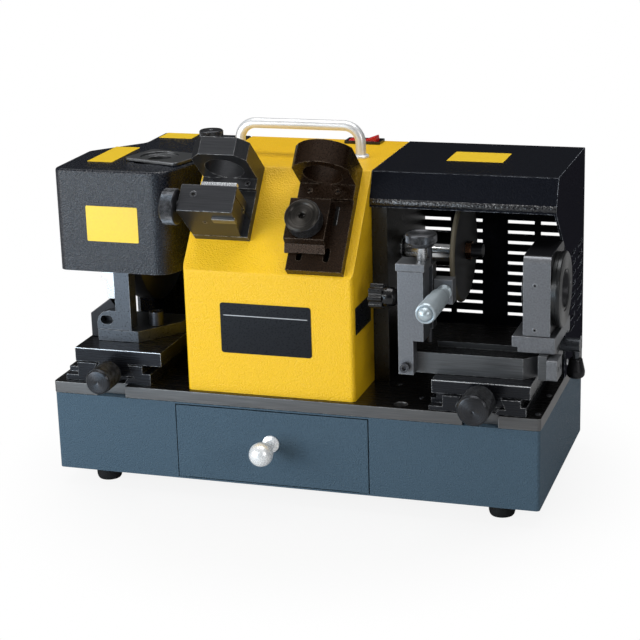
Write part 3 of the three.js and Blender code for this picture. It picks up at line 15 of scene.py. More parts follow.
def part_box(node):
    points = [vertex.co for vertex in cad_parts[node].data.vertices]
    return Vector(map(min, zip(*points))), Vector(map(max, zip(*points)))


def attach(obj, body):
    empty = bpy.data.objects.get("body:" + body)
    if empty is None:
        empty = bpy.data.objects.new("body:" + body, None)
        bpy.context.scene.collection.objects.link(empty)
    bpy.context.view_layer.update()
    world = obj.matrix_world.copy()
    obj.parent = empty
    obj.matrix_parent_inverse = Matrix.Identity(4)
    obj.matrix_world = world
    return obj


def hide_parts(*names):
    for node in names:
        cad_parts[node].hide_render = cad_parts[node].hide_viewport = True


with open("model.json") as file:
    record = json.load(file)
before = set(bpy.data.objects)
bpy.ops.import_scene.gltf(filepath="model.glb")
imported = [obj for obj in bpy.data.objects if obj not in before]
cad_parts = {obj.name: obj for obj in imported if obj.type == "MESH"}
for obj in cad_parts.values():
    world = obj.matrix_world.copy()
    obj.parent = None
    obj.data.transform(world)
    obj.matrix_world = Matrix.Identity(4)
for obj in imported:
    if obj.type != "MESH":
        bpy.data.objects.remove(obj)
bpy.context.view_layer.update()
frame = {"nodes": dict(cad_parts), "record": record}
NODES = frame["nodes"]
SLOTS = {entry["node"]: entry["material_slot"] for entry in frame["record"]["subparts"]}
BODIES = {node: body for body, nodes in frame["record"]["behaviour"]["bodies"].items() for node in nodes}
MM = 0.001

# %% [markdown]
# The machine's makers measure from the deck plate: the middle of its width, its front edge and its top.
# The same three faces are found in the frame, so that a place can be written as it would be on a drawing.

# %% Find the deck's datum faces
deck_low, deck_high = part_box("base_plate")
DATUM = Vector(((deck_low.x + deck_high.x) / 2, deck_low.y, deck_high.z))
RIGHTWARD, LEFTWARD = (1, 0, 0), (-1, 0, 0)
BACKWARD, FORWARD = (0, 1, 0), (0, -1, 0)
UPWARD, DOWNWARD = (0, 0, 1), (0, 0, -1)


def spot(x, y, z):
    """A point given in millimetres from the deck's datum faces, in the frame's metres."""
    return DATUM + Vector((x, y, z)) * MM


def middle(node):
    low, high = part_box(node)
    return (low + high) / 2


print("datum", tuple(round(v, 4) for v in DATUM))

# %% [markdown]
# The camera comes from the photograph: vanishing directions of the cabinet's edges gave its turn, tilt and
# lean, and the spacing of known corners gave its distance. The lens is long, so the shape stays calm.

# %% Camera
CAMERA_PLACE = (484.81, -1393.51, 521.18)
CAMERA_TURN = math.radians(18.01)
CAMERA_TILT = math.radians(16.99)
CAMERA_LEAN = math.radians(1.65)
FOCAL_PIXELS = 1817.65
FRAME_PIXELS = 640
SENSOR_WIDTH = 36.0
FAR_CLIP = 30


def camera_axes(turn, tilt, lean):
    """The camera's own right, up and back directions from its three angles."""
    forward = Vector((-math.sin(turn) * math.cos(tilt), math.cos(turn) * math.cos(tilt), -math.sin(tilt)))
    level_right = Vector((math.cos(turn), math.sin(turn), 0))
    level_up = level_right.cross(forward)
    right = level_right * math.cos(lean) - level_up * math.sin(lean)
    up = level_right * math.sin(lean) + level_up * math.cos(lean)
    return right, up, -forward


lens_data = bpy.data.cameras.new("photo_camera")
lens_data.sensor_width = SENSOR_WIDTH
lens_data.lens = SENSOR_WIDTH * FOCAL_PIXELS / FRAME_PIXELS
lens_data.clip_end = FAR_CLIP
camera = bpy.data.objects.new("photo_camera", lens_data)
bpy.context.scene.collection.objects.link(camera)
axes = Matrix(camera_axes(CAMERA_TURN, CAMERA_TILT, CAMERA_LEAN)).transposed()
camera.matrix_world = Matrix.Translation(spot(*CAMERA_PLACE)) @ axes.to_4x4()
bpy.context.scene.camera = camera
bpy.context.scene.view_settings.view_transform = "Standard"
print("lens", round(lens_data.lens, 2), "mm")

# %% [markdown]
# Lights, finishes and repeated details are all node trees. A few small functions write them, so that a tree
# reads as a list of what goes into what.

# %% Write node trees


def fill_inputs(tree, node, values):
    """Sets each named or numbered input to a value, or links another node's output to it."""
    for socket, value in values.items():
        if isinstance(value, bpy.types.NodeSocket):
            tree.links.new(value, node.inputs[socket])
        else:
            node.inputs[socket].default_value = value
    return node


def add(tree, kind, values=None, **settings):
    """Adds a node. Its settings come first, because they decide which inputs it has."""
    node = tree.nodes.new(kind)
    for name, value in settings.items():
        setattr(node, name, value)
    return fill_inputs(tree, node, values or {})


def reckon(tree, operation, first, second):
    return add(tree, "ShaderNodeMath", {0: first, 1: second}, operation=operation).outputs[0]


def map_range(tree, value, source, target=(0, 1), **settings):
    values = {"Value": value, "From Min": source[0], "From Max": source[1],
              "To Min": target[0], "To Max": target[1]}
    return add(tree, "ShaderNodeMapRange", values, **settings).outputs["Result"]


def object_place(tree):
    return add(tree, "ShaderNodeTexCoord").outputs["Object"]


def new_tree(kind, name, inputs, outputs):
    """An empty tree, with its inputs and outputs given as names and kinds of value."""
    tree = bpy.data.node_groups.new(name, kind)
    for way, sockets in (("INPUT", inputs), ("OUTPUT", outputs)):
        for title, value_kind in sockets.items():
            tree.interface.new_socket(title, in_out=way, socket_type="NodeSocket" + value_kind)
    return tree, tree.nodes.new("NodeGroupInput").outputs, tree.nodes.new("NodeGroupOutput")


print("node writer ready")

# %% [markdown]
# A product photograph like this one is lit by large soft boxes over a white sweep. Four area lamps and an
# overhead one give the long soft highlights, and a plain world fills the shadows, more from above than from
# the sides. Only the camera's own rays see an even backdrop, and a floor that glows except round the feet.

# %% Light and floor
FILL_HEIGHTS, WORLD_FILL = (0.3, 0.95), (0.03, 0.55)
FLOOR_SIZE = 14.0
GLOW_SHARE = 0.88
PAPER = (0.62, 0.62, 0.62, 1)
SHADOW_REACH = (0.18, 0.33)
WHITE_LIGHT, COOL_LIGHT = (1, 1, 1), (0.62, 0.82, 1.0)
LAMPS = {
    "key_left": ((-1.15, -1.05, 0.44), (0, 0, 0.14), (1.0, 0.84), 14, WHITE_LIGHT),
    "fill_right": ((1.4, -1.1, 0.7), (0, 0, 0.15), (0.8, 0.8), 7, WHITE_LIGHT),
    "low_panel": ((-0.43, -0.78, 0.15), (-0.2, -0.1, 0.2), (0.36, 0.25), 1.7, COOL_LIGHT),
    "front_strip": ((-0.48, -1.36, 0.75), (0, 0, 0.2), (0.5, 0.12), 2.2, WHITE_LIGHT),
    "overhead": ((0.0, 0.1, 1.6), (0, 0, 0.2), (1.3, 0.8), 13, WHITE_LIGHT),
}


def cleared_tree(owner):
    owner.use_nodes = True
    owner.node_tree.nodes.clear()
    return owner.node_tree


def plain_world():
    world = bpy.data.worlds.new("studio")
    tree = cleared_tree(world)
    path = add(tree, "ShaderNodeLightPath").outputs
    place = add(tree, "ShaderNodeTexCoord").outputs["Generated"]
    height = add(tree, "ShaderNodeSeparateXYZ", {0: place}).outputs["Z"]
    strength = map_range(tree, height, FILL_HEIGHTS, WORLD_FILL)
    fill = add(tree, "ShaderNodeBackground", {"Strength": strength}).outputs[0]
    backdrop = add(tree, "ShaderNodeBackground").outputs[0]
    seen = reckon(tree, "MAXIMUM", path["Is Camera Ray"], path["Is Transmission Ray"])
    mix = add(tree, "ShaderNodeMixShader", {0: seen, 1: fill, 2: backdrop}).outputs[0]
    add(tree, "ShaderNodeOutputWorld", {0: mix})
    bpy.context.scene.world = world


def soft_box(name, place, aim, size, watts, colour):
    data = bpy.data.lights.new(name, "AREA")
    data.shape = "RECTANGLE"
    data.size, data.size_y = size
    data.energy = watts
    data.color = colour
    lamp = bpy.data.objects.new(name, data)
    bpy.context.scene.collection.objects.link(lamp)
    lamp.location = place
    lamp.rotation_euler = (Vector(aim) - Vector(place)).to_track_quat("-Z", "Y").to_euler()


def plain_floor():
    mesh = bpy.data.meshes.new("floor")
    half = FLOOR_SIZE / 2
    corners = [(-half, -half, 0), (half, -half, 0), (half, half, 0), (-half, half, 0)]
    mesh.from_pydata(corners, [], [(0, 1, 2, 3)])
    floor = bpy.data.objects.new("floor", mesh)
    bpy.context.scene.collection.objects.link(floor)
    material = bpy.data.materials.new("white_sweep")
    tree = cleared_tree(material)
    path = add(tree, "ShaderNodeLightPath").outputs
    measure = add(tree, "ShaderNodeVectorMath", {0: object_place(tree)}, operation="LENGTH")
    distance = measure.outputs["Value"]
    share = map_range(tree, distance, SHADOW_REACH, (GLOW_SHARE, 1), interpolation_type="SMOOTHSTEP")
    seen = reckon(tree, "MULTIPLY", path["Is Camera Ray"], share)
    paper = add(tree, "ShaderNodeBsdfDiffuse", {"Color": PAPER}).outputs[0]
    glow = add(tree, "ShaderNodeEmission").outputs[0]
    mix = add(tree, "ShaderNodeMixShader", {0: seen, 1: paper, 2: glow}).outputs[0]
    add(tree, "ShaderNodeOutputMaterial", {0: mix})
    mesh.materials.append(material)


plain_world()
for lamp_name, lamp_values in LAMPS.items():
    soft_box(lamp_name, *lamp_values)
plain_floor()
print(len(LAMPS), "lamps")

# %% [markdown]
# Real coatings are never one flat colour, so four effects are built once as node groups and used by many
# finishes: a sprayed texture, the fine lines that a grinder leaves, the rings that a lathe leaves, and light
# edges that are partly wear and partly painted highlight. A turned face shows a bow-tie of light, because
# the tool leaves rings round the centre. The distance from the axis is worked out from the object's own
# coordinates.

# %% Shader groups


def bumped(tree, result, mask, height, strength, distance):
    """Ends a finish group: one height is both its bump and its mask."""
    bump = add(tree, "ShaderNodeBump", {"Distance": distance, "Strength": strength, "Height": height})
    fill_inputs(tree, result, {"Normal": bump.outputs["Normal"], mask: height})
    return tree


def vector_math(tree, operation, first, second):
    return add(tree, "ShaderNodeVectorMath", {0: first, 1: second}, operation=operation).outputs


def sprayed_texture_group():
    """Grainy paint: a noise as a bump, and the same noise as a faint mottle for colour and gloss."""
    tree, given, result = new_tree(
        "ShaderNodeTree", "sprayed_texture", {"Scale": "Float", "Strength": "Float", "Depth": "Float"},
        {"Normal": "Vector", "Mottle": "Float"})
    grain = add(tree, "ShaderNodeTexNoise", {
        "Vector": object_place(tree), "Scale": given["Scale"], "Detail": 1.5, "Roughness": 0.5})
    return bumped(tree, result, "Mottle", grain.outputs["Fac"], given["Strength"], given["Depth"])


def machining_lines_group():
    """Fine parallel lines along one axis, from noise that is squeezed across them."""
    tree, given, result = new_tree(
        "ShaderNodeTree", "machining_lines", {"Stretch": "Vector", "Strength": "Float"},
        {"Normal": "Vector", "Lines": "Float"})
    squeezed = vector_math(tree, "MULTIPLY", object_place(tree), given["Stretch"])[0]
    noise = add(tree, "ShaderNodeTexNoise", {"Vector": squeezed, "Scale": 1, "Detail": 2})
    return bumped(tree, result, "Lines", noise.outputs["Fac"], given["Strength"], 0.1 * MM)


def turned_rings_group():
    """Fine rings round an axis through Centre; Across is 1 on the two axes that cross it."""
    tree, given, result = new_tree(
        "ShaderNodeTree", "turned_rings",
        {"Centre": "Vector", "Across": "Vector", "Pitch": "Float", "Strength": "Float"},
        {"Normal": "Vector", "Rings": "Float", "Outwards": "Vector"})
    from_centre = vector_math(tree, "SUBTRACT", object_place(tree), given["Centre"])[0]
    across = vector_math(tree, "MULTIPLY", from_centre, given["Across"])[0]
    distance = add(tree, "ShaderNodeVectorMath", {0: across}, operation="LENGTH").outputs["Value"]
    scaled = reckon(tree, "MULTIPLY", distance, given["Pitch"])
    noise = add(tree, "ShaderNodeTexNoise", {"W": scaled, "Scale": 1, "Detail": 1}, noise_dimensions="1D")
    outwards = add(tree, "ShaderNodeVectorTransform", {0: from_centre},
                   vector_type="VECTOR", convert_from="OBJECT", convert_to="WORLD")
    fill_inputs(tree, result, {"Outwards": outwards.outputs[0]})
    return bumped(tree, result, "Rings", noise.outputs["Fac"], given["Strength"], 0.12 * MM)


def edge_wear_and_highlight_group():
    """Edge wear and painted highlight: white on sharp edges from a bevelled normal, broken up by noise."""
    tree, given, result = new_tree(
        "ShaderNodeTree", "edge_wear_and_highlight", {"Radius": "Float", "Amount": "Float"}, {"Mask": "Float"})
    rounded = add(tree, "ShaderNodeBevel", {"Radius": given["Radius"]}, samples=4).outputs[0]
    real = add(tree, "ShaderNodeNewGeometry").outputs["Normal"]
    edge = map_range(tree, vector_math(tree, "DOT_PRODUCT", rounded, real)["Value"], (0.995, 0.9))
    patches = add(tree, "ShaderNodeTexNoise", {"Vector": object_place(tree), "Scale": 260}).outputs["Fac"]
    both = reckon(tree, "MULTIPLY", edge, map_range(tree, patches, (0.35, 0.6)))
    fill_inputs(tree, result, {"Mask": reckon(tree, "MULTIPLY", both, given["Amount"])})
    return tree


SPRAYED = sprayed_texture_group()
LINES = machining_lines_group()
RINGS = turned_rings_group()
WEAR_AND_HIGHLIGHT = edge_wear_and_highlight_group()
print("groups", [tree.name for tree in (SPRAYED, LINES, RINGS, WEAR_AND_HIGHLIGHT)])

# %% [markdown]
# Each finish is one material. Painted ones use the sprayed texture, machined ones the fine lines and turned
# ones the rings, and all let the edge mask show a lighter colour. In part this is wear, because corners of
# tools are handled and knocked, and in part it is painted highlight along the edges.

# %% Finishes
NOISE_MIDDLE = (0.3, 0.7)
RING_PITCH = 2500
ACROSS = {"X": (0, 1, 1), "Y": (1, 0, 1), "Z": (1, 1, 0), "slope": (1, 1, 1)}


def linear(hex_colour):
    """A colour as a maker's chart writes it, as the linear values that a shader wants."""
    def channel(value):
        return value / 12.92 if value <= 0.04045 else ((value + 0.055) / 1.055) ** 2.4
    return tuple(channel(int(hex_colour[i:i + 2], 16) / 255) for i in (0, 2, 4)) + (1,)


def blend_colours(tree, factor, first, second):
    values = {"Factor": factor, "A": first, "B": second}
    return add(tree, "ShaderNodeMix", values, data_type="RGBA").outputs["Result"]


def make_finish(name, group, settings, mask, light, dark, roughness, wear_and_highlight_colour, wear_and_highlight, shader_values):
    """The group gives a normal and a mask. The mask blends two colours and spreads the roughness over a
    range, and sharp edges show a third colour, as wear and painted highlight. A text among the shader's
    values names a group output."""
    material = bpy.data.materials.new(name)
    material.use_nodes = True
    tree = material.node_tree
    pattern = add(tree, "ShaderNodeGroup", settings, node_tree=group).outputs
    edges = add(tree, "ShaderNodeGroup", wear_and_highlight, node_tree=WEAR_AND_HIGHLIGHT).outputs["Mask"]
    mottled = blend_colours(tree, pattern[mask], linear(dark), linear(light))
    values = {}
    for socket, value in shader_values.items():
        values[socket] = pattern[value] if isinstance(value, str) else value
    values["Base Color"] = blend_colours(tree, edges, mottled, linear(wear_and_highlight_colour))
    values["Roughness"] = map_range(tree, pattern[mask], NOISE_MIDDLE, roughness)
    values["Normal"] = pattern["Normal"]
    fill_inputs(tree, tree.nodes["Principled BSDF"], values)
    return material


def painted(name, light, dark, scale, strength, roughness, wear_and_highlight_colour, wear_and_highlight=0.25, specular=0.5, depth=0.6):
    return make_finish(
        name, SPRAYED, {"Scale": scale, "Strength": strength, "Depth": depth * MM}, "Mottle", light, dark,
        (roughness - 0.08, roughness + 0.1), wear_and_highlight_colour, {"Radius": 0.8 * MM, "Amount": wear_and_highlight},
        {"Specular IOR Level": specular})


def machined(name, light, dark, stretch, strength, roughness, wear_and_highlight_colour, wear_and_highlight=0.5, metallic=1.0):
    return make_finish(
        name, LINES, {"Stretch": stretch, "Strength": strength}, "Lines", light, dark,
        (roughness - 0.06, roughness + 0.1), wear_and_highlight_colour, {"Radius": 0.8 * MM, "Amount": wear_and_highlight},
        {"Metallic": metallic})


def turned_metal(name, place, axis, light, dark, roughness, strength=0.3, metallic=1.0):
    return make_finish(
        name, RINGS,
        {"Centre": spot(*place), "Across": ACROSS[axis], "Pitch": RING_PITCH, "Strength": strength},
        "Rings", light, dark, (roughness - 0.06, roughness + 0.08), "D8DADC",
        {"Radius": 0.4 * MM, "Amount": 0.35},
        {"Metallic": metallic, "Anisotropic": 0.75, "Tangent": "Outwards"})


ALONG_X = (30, 1500, 1500)
ALONG_Y = (1500, 30, 1500)
EVEN = (700, 700, 700)
GRIT = (2600, 2600, 2600)
FINISH = {
    "blue_texture": painted(
        "blue_texture_paint", "4E6372", "3F515F", 760, 1.0, 0.5, "8FA2AE", 0.25, 0.1, 1.0),
    "yellow_texture": painted(
        "yellow_texture_paint", "FBCA1E", "F0BB13", 820, 1.0, 0.4, "FFE9A8", 0.3, 0.35, 0.8),
    "black_wrinkle": painted("black_satin_paint", "0B1322", "050910", 980, 0.9, 0.25, "9AA0AA", 0.4),
    "olive_grey": painted("chamber_black", "1D1B14", "12110C", 700, 0.5, 0.34, "4C4A40"),
    "ground_steel": machined(
        "ground_deck_steel", "757575", "4C4C4D", ALONG_X, 0.35, 0.38, "DCDCDC", 0.8, 0.75),
    "dark_steel": machined(
        "dark_machined_steel", "55565A", "303135", ALONG_X, 0.2, 0.34, "D0D2D5", 0.8, 0.85),
    "cast_grey": machined("milled_grey_iron", "8B8D91", "5E6064", EVEN, 0.35, 0.4, "DADCDE", 0.6, 0.8),
    "bright_steel": machined(
        "bright_turned_steel", "E6E8EA", "BCBFC2", ALONG_Y, 0.12, 0.24, "F4F4F4", 0.3, 0.8),
    "satin_chrome": machined("satin_chrome", "C7D1D6", "A9B5BB", EVEN, 0.05, 0.33, "EEF2F4", 0.3, 0.6),
    "aluminium": machined("satin_aluminium", "F2F3F5", "E6E8EA", EVEN, 0.0, 0.34, "FFFFFF", 0.2, 0.45),
    "brass": machined("turned_brass", "A8795A", "5A3C2C", EVEN, 0.1, 0.26, "F0E0C4", 0.7),
    "abrasive": machined("bonded_abrasive", "8E8673", "504B3F", GRIT, 0.9, 0.6, "D8D0C0", 0.4, 0.4),
    # Black oxide, tinted brown as a painted reflection of the yellow housing.
    "black_oxide": machined("black_oxide_with_painted_yellow_reflection", "33200F", "160D06", EVEN, 0.25, 0.28, "9A8A78", 0.8, 0.6),
    "rubber": painted("foot_rubber", "1B1C1E", "111213", 500, 0.3, 0.7, "3A3A3A", 0.1, 0.3),
    "black_plastic": painted("moulded_black_plastic", "101012", "08080A", 600, 0.15, 0.2, "3C3C3E", 0.1),
    "red_plastic": painted("moulded_red_plastic", "D81E1E", "B81414", 600, 0.08, 0.3, "FF7A70", 0.1),
}
# The slides' and the left fixture's pale edge colours at 0.9 are partly wear and partly painted highlight.
BLUED = machined("blued_slide_steel", "2C2E33", "16171B", ALONG_X, 0.15, 0.24, "E6E8EA", 0.9, 0.7)
GUNMETAL = machined("gunmetal_casting", "5E6268", "33363A", EVEN, 0.4, 0.32, "C8CCD0", 0.6, 0.75)
BED_IRON = machined("scraped_bed_iron", "6E7072", "444547", ALONG_X, 0.3, 0.36, "D0D2D4", 0.7, 0.75)
FIXTURE = machined("fixture_steel", "4C4D50", "2E2F32", ALONG_X, 0.12, 0.36, "DCDEE0", 0.9, 0.75)
# Black for the angle plate and the lever grip, also used to paint shade in the chuck ring's bore and on the
# bearing housing's right faces.
BLACK_AND_SHADE = machined("black_plate_and_shade", "222226", "111114", EVEN, 0.2, 0.34, "8C8E92", 0.6, 0.5)
SATIN_BALL = machined("satin_ball", "FAFBFC", "EEF0F1", EVEN, 0.0, 0.26, "FFFFFF", 0.2, 0.4)
KNURLED = machined("knurled_dark", "4A4B4E", "222325", EVEN, 0.1, 0.4, "9A9CA0", 0.5, 0.8)
# An almost black finish for the deck's and the bed's upward faces; on the bed it is painted shade.
DARK_TOP_STEEL = machined("dark_top_finish", "1C1B1B", "0D0D0D", ALONG_X, 0.12, 0.22, "6A6865", 0.4, 0.25)
HARDENED = machined("hardened_blade", "8C8E90", "5C5E61", ALONG_X, 0.15, 0.3, "D8DADC", 0.7, 0.85)
# The right cover's pale edge colour at 0.9 is partly wear and partly painted highlight along its top fold.
SMOOTH_BLACK = painted("smooth_black_paint", "14171F", "0B0C11", 760, 0.7, 0.34, "B4B9C2", 0.9, 0.06)
# A copy of the black paint without reflection, so that the right cover's side renders darker as painted
# shade.
SHADED_SIDE_BLACK = painted("painted_shade_side_black", "28282F", "1E1E24", 760, 0.7, 0.5, "A4A9B2", 0.6, 0.0)
HEM_BLACK = painted("hem_black_paint", "10131A", "090A0E", 620, 1.0, 0.18, "A4A9B2", 0.3, 0.9, 0.9)
# A dark finish painted into socket floors, slot floors, a groove and a split, as their shade.
SHADE_IN_HOLLOWS = painted("socket_shadow", "0B0A09", "060505", 500, 0.1, 0.6, "101010", 0.0, 0.2)
MARK_BLACK = painted("engraved_black", "15171A", "0E0F11", 900, 0.05, 0.5, "202224", 0.0)
LABEL_YELLOW = painted("label_yellow", "FBD530", "F2C61F", 500, 0.03, 0.38, "FFE890", 0.0)
PLATE_DARK = painted("plate_dark", "14161C", "0D0F13", 700, 0.04, 0.3, "70757C", 0.2, 0.2)
LINE_LIGHT = painted("plate_line", "C9CCD0", "B4B8BC", 700, 0.03, 0.35, "FFFFFF", 0.0)
NODE_FINISH = {node: FINISH[SLOTS[node]] for node in NODES}
for finish, nodes_with_it in (
    (BLUED, ("left_slide_base", "left_table", "right_slide_base", "right_table")),
    (GUNMETAL, ("left_bracket", "clamp_lever")),
    (BED_IRON, ("bed", "left_chuck_holder", "bed_end_plate")),
    (FIXTURE, ("left_jig_body", "left_jig_block")),
    (BLACK_AND_SHADE, ("left_angle_plate", "clamp_lever_grip")),
    (SATIN_BALL, ("drawer_knob",)),
    (SMOOTH_BLACK, ("right_cover",)),
    (FINISH["cast_grey"], ("chuck_carriage",)),
):
    for node in nodes_with_it:
        NODE_FINISH[node] = finish
for node, solid in NODES.items():
    solid.data.materials.clear()
    solid.data.materials.append(NODE_FINISH[node])
print(len(FINISH), "slots have a finish")

# %% [markdown]
# A solid from the frame has knife-sharp edges. A real casting, folded sheet or milled block has a small
# radius on every edge, and that radius is what catches the light. So most pieces are dressed copies: the
# solid's triangles are merged back into faces, every sharp edge gets a bevel of its own width, and the
# normals are weighted by face, so that large faces stay flat.

# %% Dress a solid with real edges
SMOOTH_BELOW = math.radians(38)
ROUND_BELOW = math.radians(50)
FLAT_BELOW = math.radians(0.6)
MERGE_AT = 0.01 * MM
FACE_WEIGHT = 90
SQUARE_ON = 0.9


def settle(piece):
    """Turns a piece's modifiers into plain mesh, as the frame wants it."""
    graph = bpy.context.evaluated_depsgraph_get()
    settled = bpy.data.meshes.new_from_object(piece.evaluated_get(graph))
    piece.modifiers.clear()
    piece.data = settled
    return piece


def new_piece(name, mesh, material):
    piece = bpy.data.objects.new(name, mesh)
    bpy.context.scene.collection.objects.link(piece)
    if material is not None:
        mesh.materials.clear()
        mesh.materials.append(material)
    return piece


def finish_edges(piece, width, segments=2):
    """Bevels the sharp edges by a width in millimetres and keeps flat faces flat."""
    mesh = piece.data
    mesh.shade_smooth()
    if width:
        bevel = piece.modifiers.new("edges", "BEVEL")
        bevel.width = width * MM
        bevel.segments = segments
        bevel.limit_method = "ANGLE"
        bevel.angle_limit = SMOOTH_BELOW
    else:
        mesh.set_sharp_from_angle(angle=SMOOTH_BELOW)
    weighted = piece.modifiers.new("flat_faces", "WEIGHTED_NORMAL")
    weighted.keep_sharp = True
    weighted.weight = FACE_WEIGHT
    return settle(piece)


def merged_copy(node):
    sculpt = bmesh.new()
    sculpt.from_mesh(NODES[node].data)
    bmesh.ops.remove_doubles(sculpt, verts=sculpt.verts, dist=MERGE_AT)
    bmesh.ops.dissolve_limit(sculpt, angle_limit=FLAT_BELOW, verts=sculpt.verts, edges=sculpt.edges)
    mesh = bpy.data.meshes.new(node + "_dressed")
    sculpt.to_mesh(mesh)
    sculpt.free()
    return mesh


def stand_for(piece, node):
    """The piece takes the place of a solid: it rides on the solid's body, and the solid is hidden."""
    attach(piece, BODIES[node])
    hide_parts(node)
    return piece


def add_on(piece, body):
    """The piece has no solid of its own, and rides on a body."""
    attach(piece, body)
    return piece


def dress(node, width):
    piece = new_piece(node + "_dressed", merged_copy(node), NODE_FINISH[node])
    finish_edges(piece, width)
    return stand_for(piece, node)


def second_finish(piece, material, chosen):
    """Gives the faces that a test chooses another finish; the test gets each face's middle and normal."""
    piece.data.materials.append(material)
    for polygon in piece.data.polygons:
        if chosen((polygon.center - DATUM) / MM, polygon.normal):
            polygon.material_index = 1


print("edges round off below", round(math.degrees(SMOOTH_BELOW)), "degrees")

# %% [markdown]
# The table below gives each solid's edge width in millimetres. Sheet metal and ground plates get a small
# one, and castings and moulded pieces a larger one. The deck is ground steel. Its upward faces get a second,
# almost black finish, while its cut edges stay bare. The bed's top gets the same dark finish as painted
# shade, and the bearing housing's right faces get black as painted shade, with its top black as well.

# %% Dress the plain pieces
EDGE_WIDTHS = {
    "cabinet": 0.8, "drawer": 0.5, "base_plate": 0.7, "motor_housing": 0.7, "rear_cover": 0.7,
    "chamber_wall": 0.6, "switch_bezel": 0.7, "power_rocker": 0.6, "power_inlet": 0.6, "motor": 1.2,
    "left_slide_base": 0.6, "left_table": 0.5, "left_bracket": 0.8, "left_angle_plate": 0.6,
    "left_scale_arm": 0.4, "left_bracket_screw": 0.4, "left_chuck_holder": 0.5,
    "right_slide_base": 0.6, "right_table": 0.5, "bed": 0.6, "bed_end_plate": 0.6, "stop_block": 0.5,
    "chuck_carriage": 0.6, "bearing_housing": 0.9, "tooth_rest_bracket": 0.6, "tooth_rest_cap": 0.6,
    "tooth_rest_slide": 0.5, "tooth_rest_screw": 0.3, "micrometer_holder": 0.6,
    "left_jig_body": 0.6, "left_jig_block": 0.6, "right_jig_body": 0.6, "right_jig_slider": 0.6,
    "clamp_lever": 0.4, "motor_shaft": 0.5, "spindle_flange": 0.3, "arbor_nut": 0.5,
}
dressed_pieces = {node: dress(node, width) for node, width in EDGE_WIDTHS.items()}
second_finish(dressed_pieces["base_plate"], DARK_TOP_STEEL,
              lambda place, normal: normal.z > SQUARE_ON and place.z > -0.5)
# The bed's upward faces get the dark finish as painted shade.
second_finish(dressed_pieces["bed"], DARK_TOP_STEEL, lambda place, normal: normal.z > SQUARE_ON)
# The bearing housing's right faces get black as painted shade, and its top the same black.
second_finish(dressed_pieces["bearing_housing"], BLACK_AND_SHADE,
              lambda place, normal: max(normal.x, normal.z) > SQUARE_ON)
print("dressed", len(dressed_pieces), "pieces,", sum(len(p.data.polygons) for p in dressed_pieces.values()),
      "faces")

# %% [markdown]
# Round pieces such as wheels, knobs and feet are turned on a lathe in life, and a profile spun round an
# axis is the same thing in mesh code. The profile is written as radius and height, its corners are softened
# by short arcs, and it is spun in enough steps for the rim to look round.

# %% Turn a profile
TURN_STEPS = 96
MOST_OF_SIDE = 0.45
LEAST_REACH = 0.02
NEARLY_STRAIGHT = 0.985


def outward(mesh):
    sculpt = bmesh.new()
    sculpt.from_mesh(mesh)
    bmesh.ops.remove_doubles(sculpt, verts=sculpt.verts, dist=MERGE_AT / 10)
    bmesh.ops.recalc_face_normals(sculpt, faces=sculpt.faces)
    sculpt.to_mesh(mesh)
    sculpt.free()


def mesh_from(name, vertices, faces):
    mesh = bpy.data.meshes.new(name)
    mesh.from_pydata(vertices, [], faces)
    outward(mesh)
    return mesh


def shade_round(mesh):
    mesh.shade_smooth()
    mesh.set_sharp_from_angle(angle=ROUND_BELOW)
    return mesh


def softened(profile, radius):
    """Replaces each sharp corner of a profile by a short three-point arc."""
    soft = []
    for index, (r, h) in enumerate(profile):
        if index in (0, len(profile) - 1):
            soft.append((r, h))
            continue
        here = Vector((r, h))
        back = Vector(profile[index - 1]) - here
        ahead = Vector(profile[index + 1]) - here
        reach = min(radius, back.length * MOST_OF_SIDE, ahead.length * MOST_OF_SIDE)
        if reach < LEAST_REACH or abs(back.normalized().dot(ahead.normalized())) > NEARLY_STRAIGHT:
            soft.append((r, h))
            continue
        start = here + back.normalized() * reach
        end = here + ahead.normalized() * reach
        soft += [tuple(start), tuple((start + end) * 0.25 + here * 0.5), tuple(end)]
    return soft


def axis_frame(place, direction):
    """Local Z along a direction, with its origin at a place in millimetres from the datum."""
    turn = Vector(direction).to_track_quat("Z", "Y").to_matrix().to_4x4()
    return Matrix.Translation(spot(*place)) @ turn


def turned_mesh(name, profile, frame_matrix, softness=0.4, steps=TURN_STEPS):
    """Spins (radius, height) pairs in millimetres about local Z. A profile that starts and ends on the
    axis closes itself; any other one is closed from its last point to its first."""
    points = softened(profile, softness) if softness else list(profile)
    closed = points[0][0] > 0 or points[-1][0] > 0
    rings = []
    vertices = []
    for radius, height in points:
        count = steps if radius > 0 else 1
        rings.append(list(range(len(vertices), len(vertices) + count)))
        for step in range(count):
            angle = 2 * math.pi * step / steps
            place = Vector((radius * math.cos(angle), radius * math.sin(angle), height))
            vertices.append(frame_matrix @ (place * MM))
    pairs = list(zip(rings, rings[1:])) + ([(rings[-1], rings[0])] if closed else [])
    faces = []
    for lower, upper in pairs:
        if len(lower) == 1 and len(upper) == 1:
            continue
        for step in range(steps):
            after = (step + 1) % steps
            if len(lower) == 1:
                faces.append((lower[0], upper[after], upper[step]))
            elif len(upper) == 1:
                faces.append((lower[step], lower[after], upper[0]))
            else:
                faces.append((lower[step], lower[after], upper[after], upper[step]))
    return shade_round(mesh_from(name, vertices, faces))


def turn(node, profile, place, direction, softness=0.4, material=None):
    mesh = turned_mesh(node + "_turned", profile, axis_frame(place, direction), softness)
    return stand_for(new_piece(node + "_turned", mesh, material or NODE_FINISH[node]), node)


def turned_extra(name, profile, frame_matrix, softness, steps, material, body):
    """A turned piece that no solid of the model stands for."""
    mesh = turned_mesh(name, profile, frame_matrix, softness, steps)
    return add_on(new_piece(name, mesh, material), body)


print("lathe ready at", TURN_STEPS, "steps")

